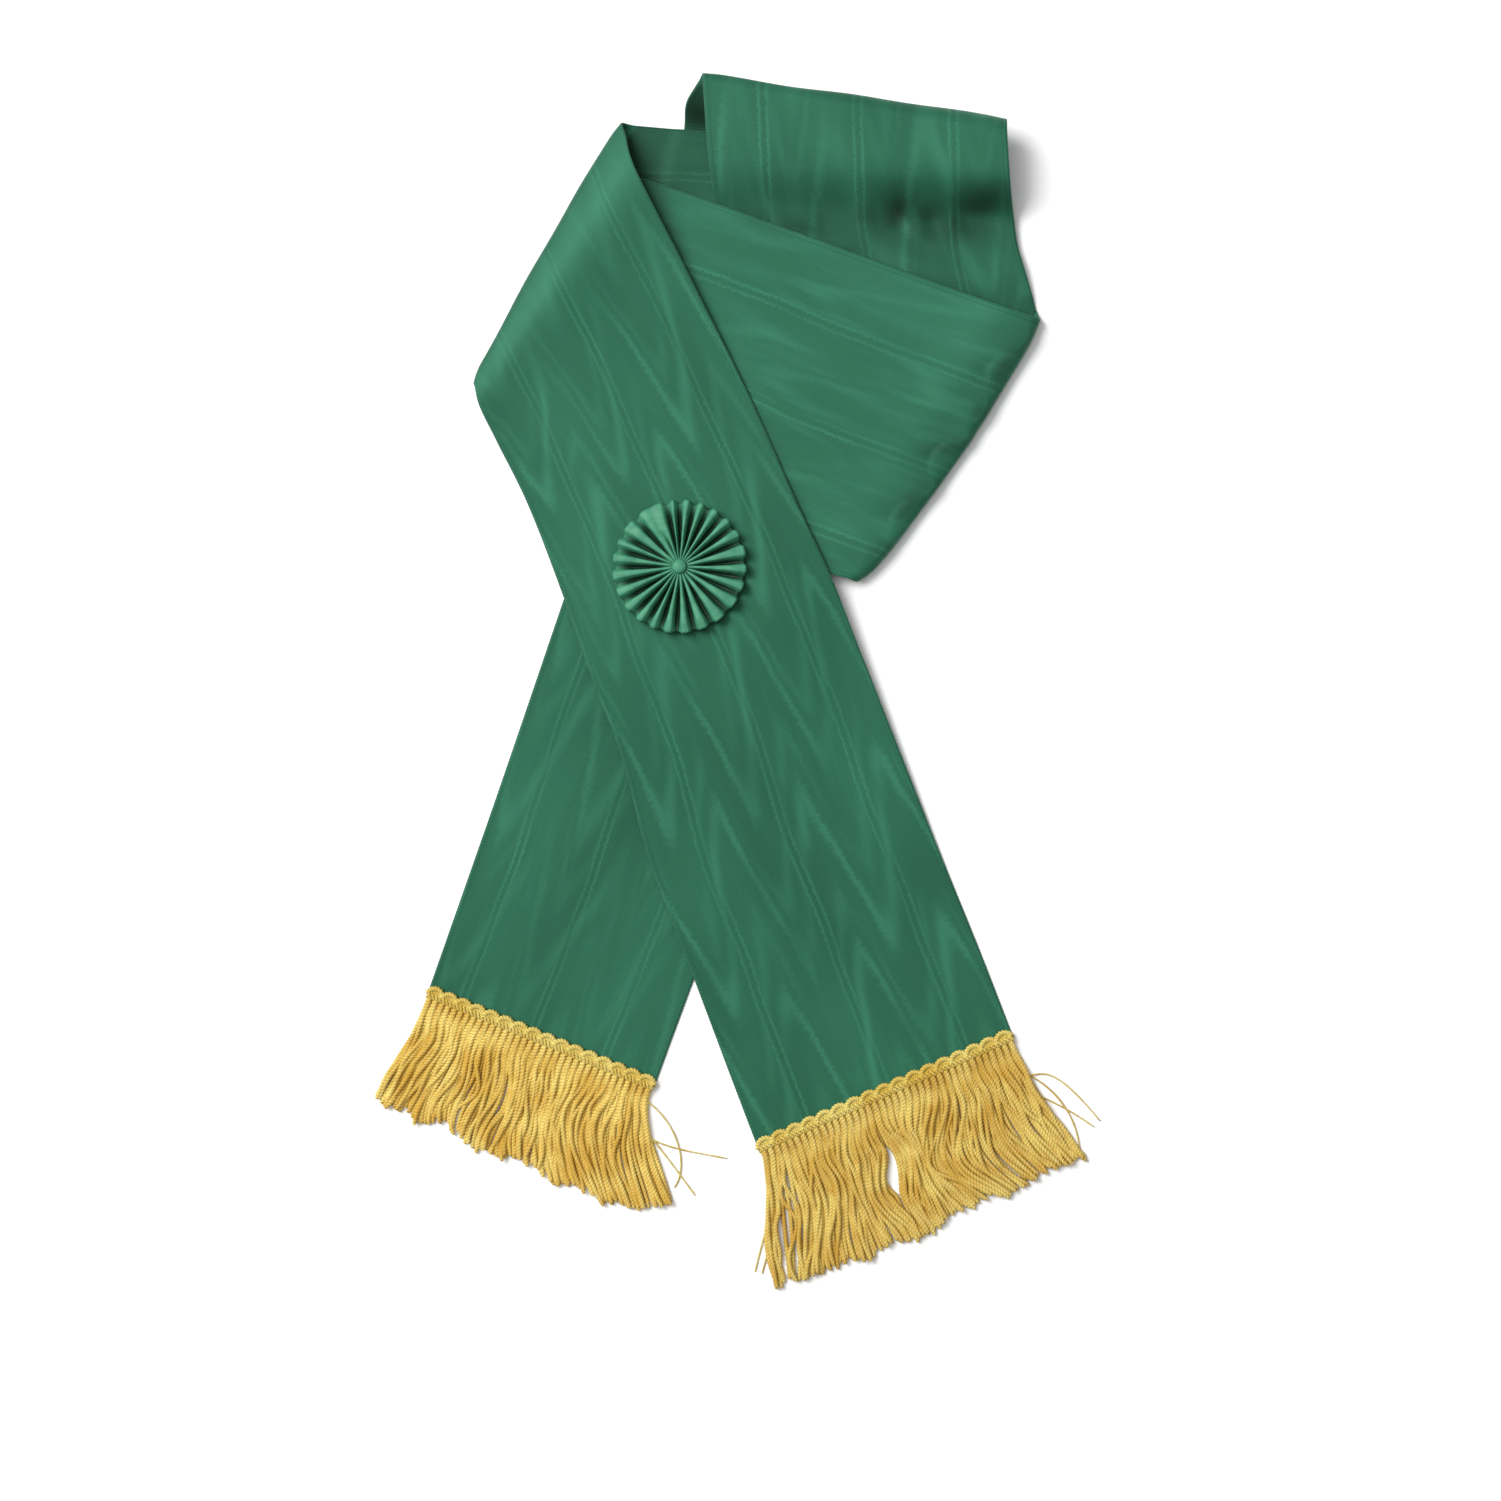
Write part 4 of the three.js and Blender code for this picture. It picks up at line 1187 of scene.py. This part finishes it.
# How the figure changes along the ribbon. Each row is a soft ramp: from and to in millimetres, and the values
# before and after. Over the right fold the lines lie nearer to the first selvage, a flame is narrow on the
# front tail, the flames are clear on the tails and the roll and faint beside the folds, and on the right
# panel streaks take their place.
LINES_LEAN = [(560, 700, 0, 0.078), (760, 1100, 0, -0.1)]
FLAME_SHARPNESS = (290, 385, 8, 4)
FLAMES_LATE = (480, 720, 0, -28)
FLAMES_CLEAR = [(520, 570, 1, 1.5), (290, 385, 0, -0.73), (700, 720, 0, -0.3), (900, 1000, 0, 0.15)]
STREAKS_BROAD = [(690, 720, 0, 0.75), (900, 1000, 0, -0.75)]
STREAKS_STRONG = [(700, 730, 0.5, 2.3), (900, 1000, 0, -1.8)]


def build_moire_group():
    """Group Moire: Vector is the cloth map, Figure is 1 on the light flames and lines, Tone a slow change."""
    tree, start, end = new_group("Moire", {"Vector": None}, ["Figure", "Tone"])
    s, metres = split(tree, start.outputs["Vector"])
    v = metres * 1000.0

    def cloud(across, along, layer, detail=1.0):
        """Noise with so many cells across the ribbon, each so many mm long, cut at the layer's height."""
        return noise(tree, vector_of(tree, s * across, v / along, layer), detail=detail)

    wander = cloud(0, 60, 4)
    tremble = cloud(30, 1.4, 2)
    moved = s + (wander - 0.5) * 0.05 + (tremble - 0.5) * 0.016 + v.ramps(LINES_LEAN)
    strip = (moved - LINE_SHARE) / LINE_SPACING

    # From one line to the next a flame climbs and comes down again, faster on one side
    place = (strip - FLAME_HIGH).math("FRACT")
    low = (FLAME_LOW - FLAME_HIGH) % 1.0
    zigzag = place.ramps([(-0.04, low + 0.03, 1, 0), (low - 0.03, 1.04, 0, 1)])
    warp = cloud(4, 75, 0, detail=2.0)
    way = v - FLAME_START - zigzag * FLAME_HEIGHT
    way = way + (warp - 0.5) * 42 + (tremble - 0.5) * 8 + v.ramp(*FLAMES_LATE)
    turn = way * (2 * np.pi / FLAME_REPEAT)
    flame = (turn.math("COSINE") * 0.5 + 0.5) ** v.ramp(*FLAME_SHARPNESS)
    echo = ((turn - ECHO_LAG).math("COSINE") * 0.5 + 0.5) ** ECHO_SHARPNESS
    fade = cloud(7, 50, 9)
    clear = v.ramps(FLAMES_CLEAR)
    flame = flame * clear * fade.ramp(0.3, 0.62, 0.3, 1)
    echo = echo * clear * fade.ramp(0.7, 0.4, 0, 0.45)

    # Each line is two light strokes beside a dark one, and has a grain of its own
    distance = strip.math("PINGPONG", 0.5) * (LINE_SPACING * RIBBON_WIDTH)
    lines = (distance - LINE_HALF).math("ABSOLUTE").ramp(1, 0.15)
    lines = lines * tremble.ramp(0.35, 0.55, 0.7, 1) * fade.ramp(0.25, 0.6, 0.9, 0.55)
    groove = distance.ramp(1.1, 0.3)

    fine, broad = cloud(55, 45, 6, detail=2.0), cloud(22, 45, 6, detail=2.0)
    streaks = fine + (broad - fine) * v.ramps(STREAKS_BROAD)
    figure = flame.math("MAXIMUM", echo).math("MAXIMUM", lines)
    figure = figure + (streaks - 0.5) * v.ramps(STREAKS_STRONG) - groove * 0.3
    feed(tree, end.inputs["Figure"], add_node(tree, "ShaderNodeClamp", {"Value": figure}).outputs[0])
    feed(tree, end.inputs["Tone"], cloud(3, 90, 13, detail=2.0))
    return tree


moire = build_moire_group()
print("group", moire.name, "with", len(moire.nodes), "nodes")

# %% [markdown]
# The cloth under the figure is a faille: fine round ribs run from selvage to selvage, a little under a
# millimetre apart, with warp threads across them. Ribbon, rosette and button are all cut from it, so it is a
# group of its own that puts out a height for a Bump node.

# %% Ribs of the cloth
def build_faille_group():
    """Group Faille: the Height of ribs along y and threads along x. The Vector and the pitches are in mm."""
    tree, start, end = new_group("Faille", {"Vector": None, "Rib": 0.85, "Thread": 0.3}, ["Height"])
    x, y = split(tree, start.outputs["Vector"])
    uneven = noise(tree, vector_of(tree, x * 0.2, y * 0.35), detail=2.0)
    rib_turn = y / start.outputs["Rib"] * (2 * np.pi) + uneven * 5
    rib = (rib_turn * 0.5).math("SINE").math("ABSOLUTE")
    thread = (x / start.outputs["Thread"] * (2 * np.pi)).math("SINE") * 0.12 + 0.12
    feed(tree, end.inputs["Height"], rib * 0.75 + thread)
    return tree


faille = build_faille_group()
print("group", faille.name, "with", len(faille.nodes), "nodes")

# %% [markdown]
# The ribbon's colour goes from a dark to a light green with the figure. Its panels catch the light at
# different angles, so a few ramps along the ribbon paint that sheen in, raising and lowering the green from
# one to the next. Over that come the darker line inside each selvage, a painted highlight on the left fold
# and painted shade in the creases.

# %% The ribbon's material
RIBBON_DARK = srgb(28, 72, 54)
RIBBON_LIGHT = srgb(48, 107, 84)
RIBBON_EDGE = srgb(23, 65, 48)
RIBBON_SHADE = srgb(18, 30, 25)
RIBBON_HIGHLIGHT = srgb(62, 128, 101)
EDGE_PLACE = 1.5
# Painted sheen: ramps along the ribbon, from and to in mm with the values before and after, that lighten or
# darken whole panels
PANEL_SHEEN = [
    (20, 300, -0.08, 0.01), (270, 360, 0, -0.22), (400, 430, 0, 0.27), (700, 730, 0, 0.12),
    (900, 1000, 0, -0.28),
]


def build_ribbon_material():
    """Moiré faille: the figure lightens the colour, smooths the surface a little and stands a hair proud."""
    material, tree, shader = new_material("moire_ribbon")
    uv = cloth_uv(tree)
    across, metres = split(tree, uv)
    along = metres * 1000.0
    figure, tone = use_group(tree, moire, {"Vector": uv})
    in_mm = vector_of(tree, across * RIBBON_WIDTH, along)
    [weave] = use_group(tree, faille, {"Vector": in_mm, "Rib": 0.85, "Thread": 0.3})
    amount = figure * 0.57 + 0.22 + (tone - 0.5) * 0.8 + along.ramps(PANEL_SHEEN) + weave * 0.1
    colour = blend_colours(tree, amount, RIBBON_DARK, RIBBON_LIGHT)
    from_edge = across.math("PINGPONG", 0.5) * RIBBON_WIDTH
    firm = (from_edge - EDGE_PLACE).math("ABSOLUTE").ramp(0.5, 0.1)
    colour = blend_colours(tree, firm * 0.35, colour, RIBBON_EDGE)
    shade_node, highlight_node = (
        add_node(tree, "ShaderNodeAttribute", attribute_name=name) for name in ("shade", "polish")
    )
    # A painted highlight where the left fold catches the light
    highlighted = Number(tree, highlight_node.outputs["Fac"]) * 0.42
    colour = blend_colours(tree, highlighted, colour, RIBBON_HIGHLIGHT)
    # Painted shade in the creases, through which the light figure still shows
    shaded = Number(tree, shade_node.outputs["Fac"]) * figure.ramp(0.2, 1, 1, 0.62)
    colour = blend_colours(tree, shaded, colour, RIBBON_SHADE)
    fill_shader(tree, shader, (0.35, 0.0001, figure * 0.35 + weave), {
        "Base Color": colour,
        "Roughness": figure.ramp(0, 1, 0.55, 0.45),
        "Specular IOR Level": 0.5,
        "Specular Tint": srgb(130, 215, 175),
        "Sheen Weight": 0.05,
        "Sheen Roughness": 0.45,
        "Sheen Tint": srgb(120, 190, 160),
    })
    return material


ribbon.data.materials.append(build_ribbon_material())

# %% [markdown]
# ## Gold cords
# The cords are rayon, spun of long shiny filaments. A filament lies along the ply, so the finest detail is a
# set of lines that wind round the cord, drawn from the cord's own map. Between the cords the light is warm
# and dark, which the renderer finds by itself; in the groove between two plies the shade is painted in. The
# dye changes a little from cord to cord. The photograph shows three golds: the front skirt's; the same gold
# made paler on the back skirt, painted light because that fringe catches more light; and a lighter, yellower
# one on the tightly spun cords of the headings, which the strays share.

# %% The gold material
FILAMENTS = 7.0
PLIES = 2
GOLD_GROOVE_SHADE = srgb(176, 122, 20)


def build_gold_material(name, deep, light):
    """Twisted rayon: two plies, painted shade in their groove, winding filament lines, a slow change of dye.
    """
    material, tree, shader = new_material(name)
    round_cord, twist = split(tree, cloth_uv(tree))
    winding = round_cord - twist
    lines = (winding * (2 * np.pi * FILAMENTS)).math("SINE")
    plies = (winding * (2 * np.pi * PLIES)).math("COSINE")
    place = add_node(tree, "ShaderNodeTexCoord").outputs["Object"]
    number = round_cord.math("FLOOR")
    own = add_node(tree, "ShaderNodeTexWhiteNoise", {"W": number}, noise_dimensions="1D").outputs["Value"]
    dye = noise(tree, place, scale=60.0, detail=4.0, roughness=0.6)
    amount = Number(tree, own) * 0.35 + dye.ramp(0.35, 0.65, 0.1, 0.75) + lines * 0.07
    colour = blend_colours(tree, amount, deep, light)
    # Painted shade in the groove between the two plies
    colour = blend_colours(tree, plies.ramp(0, -1, 0, 0.6), colour, GOLD_GROOVE_SHADE)
    fill_shader(tree, shader, (0.5, 0.0002, plies * 0.6 + lines), {
        "Base Color": colour,
        "Roughness": dye.ramp(0.3, 0.7, 0.48, 0.36),
        "Specular IOR Level": 0.5,
    })
    return material


skirt_gold = build_gold_material("gold_rayon", srgb(196, 149, 40), srgb(234, 211, 116))
# The back skirt's gold is the front's made paler: painted light, as that fringe catches more light
lit_back_gold = build_gold_material("gold_rayon_pale", srgb(206, 158, 44), srgb(246, 222, 124))
bright_gold = build_gold_material("gold_rayon_bright", srgb(209, 173, 57), srgb(234, 219, 126))
for piece in skirts:
    piece.data.materials.append(skirt_gold if piece.name.startswith("front") else lit_back_gold)
for piece in [*headings, *strays]:
    piece.data.materials.append(bright_gold)

# %% [markdown]
# The rosette, its backing, the button and the selvages have no figure that shows, so one ribbed satin does
# for all four, each with its own greens and its own pitch of rib and thread. The pleats also keep in their
# map how deep each point lies, and an almost black green shade is painted into the grooves, onto the rim's
# wall and under the sheet.

# %% The satins
# Each piece with its material's name, dark and light green, pitch of rib and thread in mm, and the colour of
# the shade painted in its grooves
SATINS = [
    (pleats, "rosette_satin", srgb(55, 124, 94), srgb(76, 147, 115), 0.8, 0.3, srgb(10, 38, 24)),
    (backing, "rosette_backing", srgb(39, 92, 71), srgb(51, 109, 85), 0.8, 0.3, None),
    (button, "button_cloth", srgb(57, 124, 94), srgb(71, 140, 108), 0.6, 0.3, None),
    (selvages, "selvage_picots", srgb(34, 84, 64), srgb(50, 105, 82), 0.6, 0.25, None),
]


def build_satin_material(name, dark, light, rib, thread, groove):
    """Plain ribbed satin: the ribs run on the piece's own x and y. With a groove colour the piece's map is
    read as well, and that colour is painted in as shade where the map's first number is low."""
    material, tree, shader = new_material(name)
    place = add_node(tree, "ShaderNodeTexCoord").outputs["Object"]
    in_mm = add_node(tree, "ShaderNodeVectorMath", {0: place, "Scale": 1000.0}, operation="SCALE").outputs[0]
    [weave] = use_group(tree, faille, {"Vector": in_mm, "Rib": rib, "Thread": thread})
    tone = noise(tree, in_mm, scale=0.25, detail=3.0)
    colour = blend_colours(tree, weave * 0.15 + tone.ramp(0.3, 0.7, 0.1, 0.9), dark, light)
    if groove:
        # Painted shade in the rosette's grooves: the map's first number says how lit a point is
        raised, _ = split(tree, cloth_uv(tree))
        colour = blend_colours(tree, raised.ramp(0.8, 0.15, 0, 0.95), colour, groove)
    fill_shader(tree, shader, (0.25, 0.00008, weave), {
        "Base Color": colour,
        "Roughness": 0.5,
        "Specular IOR Level": 0.25,
    })
    return material


for piece, *finish in SATINS:
    piece.data.materials.append(build_satin_material(*finish))
print("materials:", sorted(material.name for material in bpy.data.materials if material.users))

# %% [markdown]
# ## What each piece stands for
# Every piece is listed with the solid that it replaces, which is hidden, and with a finish's name; it rides
# on a body.
# Nothing on a sash turns or slides as a hard part does, so there is one body, the root.

roles = [(piece, "sash_ribbon", "moire_ribbon") for piece in (ribbon, selvages)]
roles += [(piece, "rosette", "rosette_ribbon") for piece in (pleats, backing)]
roles += [(button, "rosette_button", "button_cover")]
for fringe in FRINGES:
    for piece in [*headings, *skirts, *strays]:
        if piece.name.startswith(fringe["name"]):
            roles.append((piece, fringe["name"], "gold_fringe"))
for piece, node, slot in roles:
    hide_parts(node)
    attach(piece, "root")

# %% [markdown]
# The floor is as plain as the photograph's ground: one pale grey with no gloss, on the sheet that was laid
# under the ribbon at the start.

# %% The floor's finish
floor_material, _, floor_shader = new_material("pale_floor")
floor_shader.inputs["Base Color"].default_value = (0.95, 0.95, 0.95, 1)
floor_shader.inputs["Roughness"].default_value = 0.9
floor.data.materials.append(floor_material)
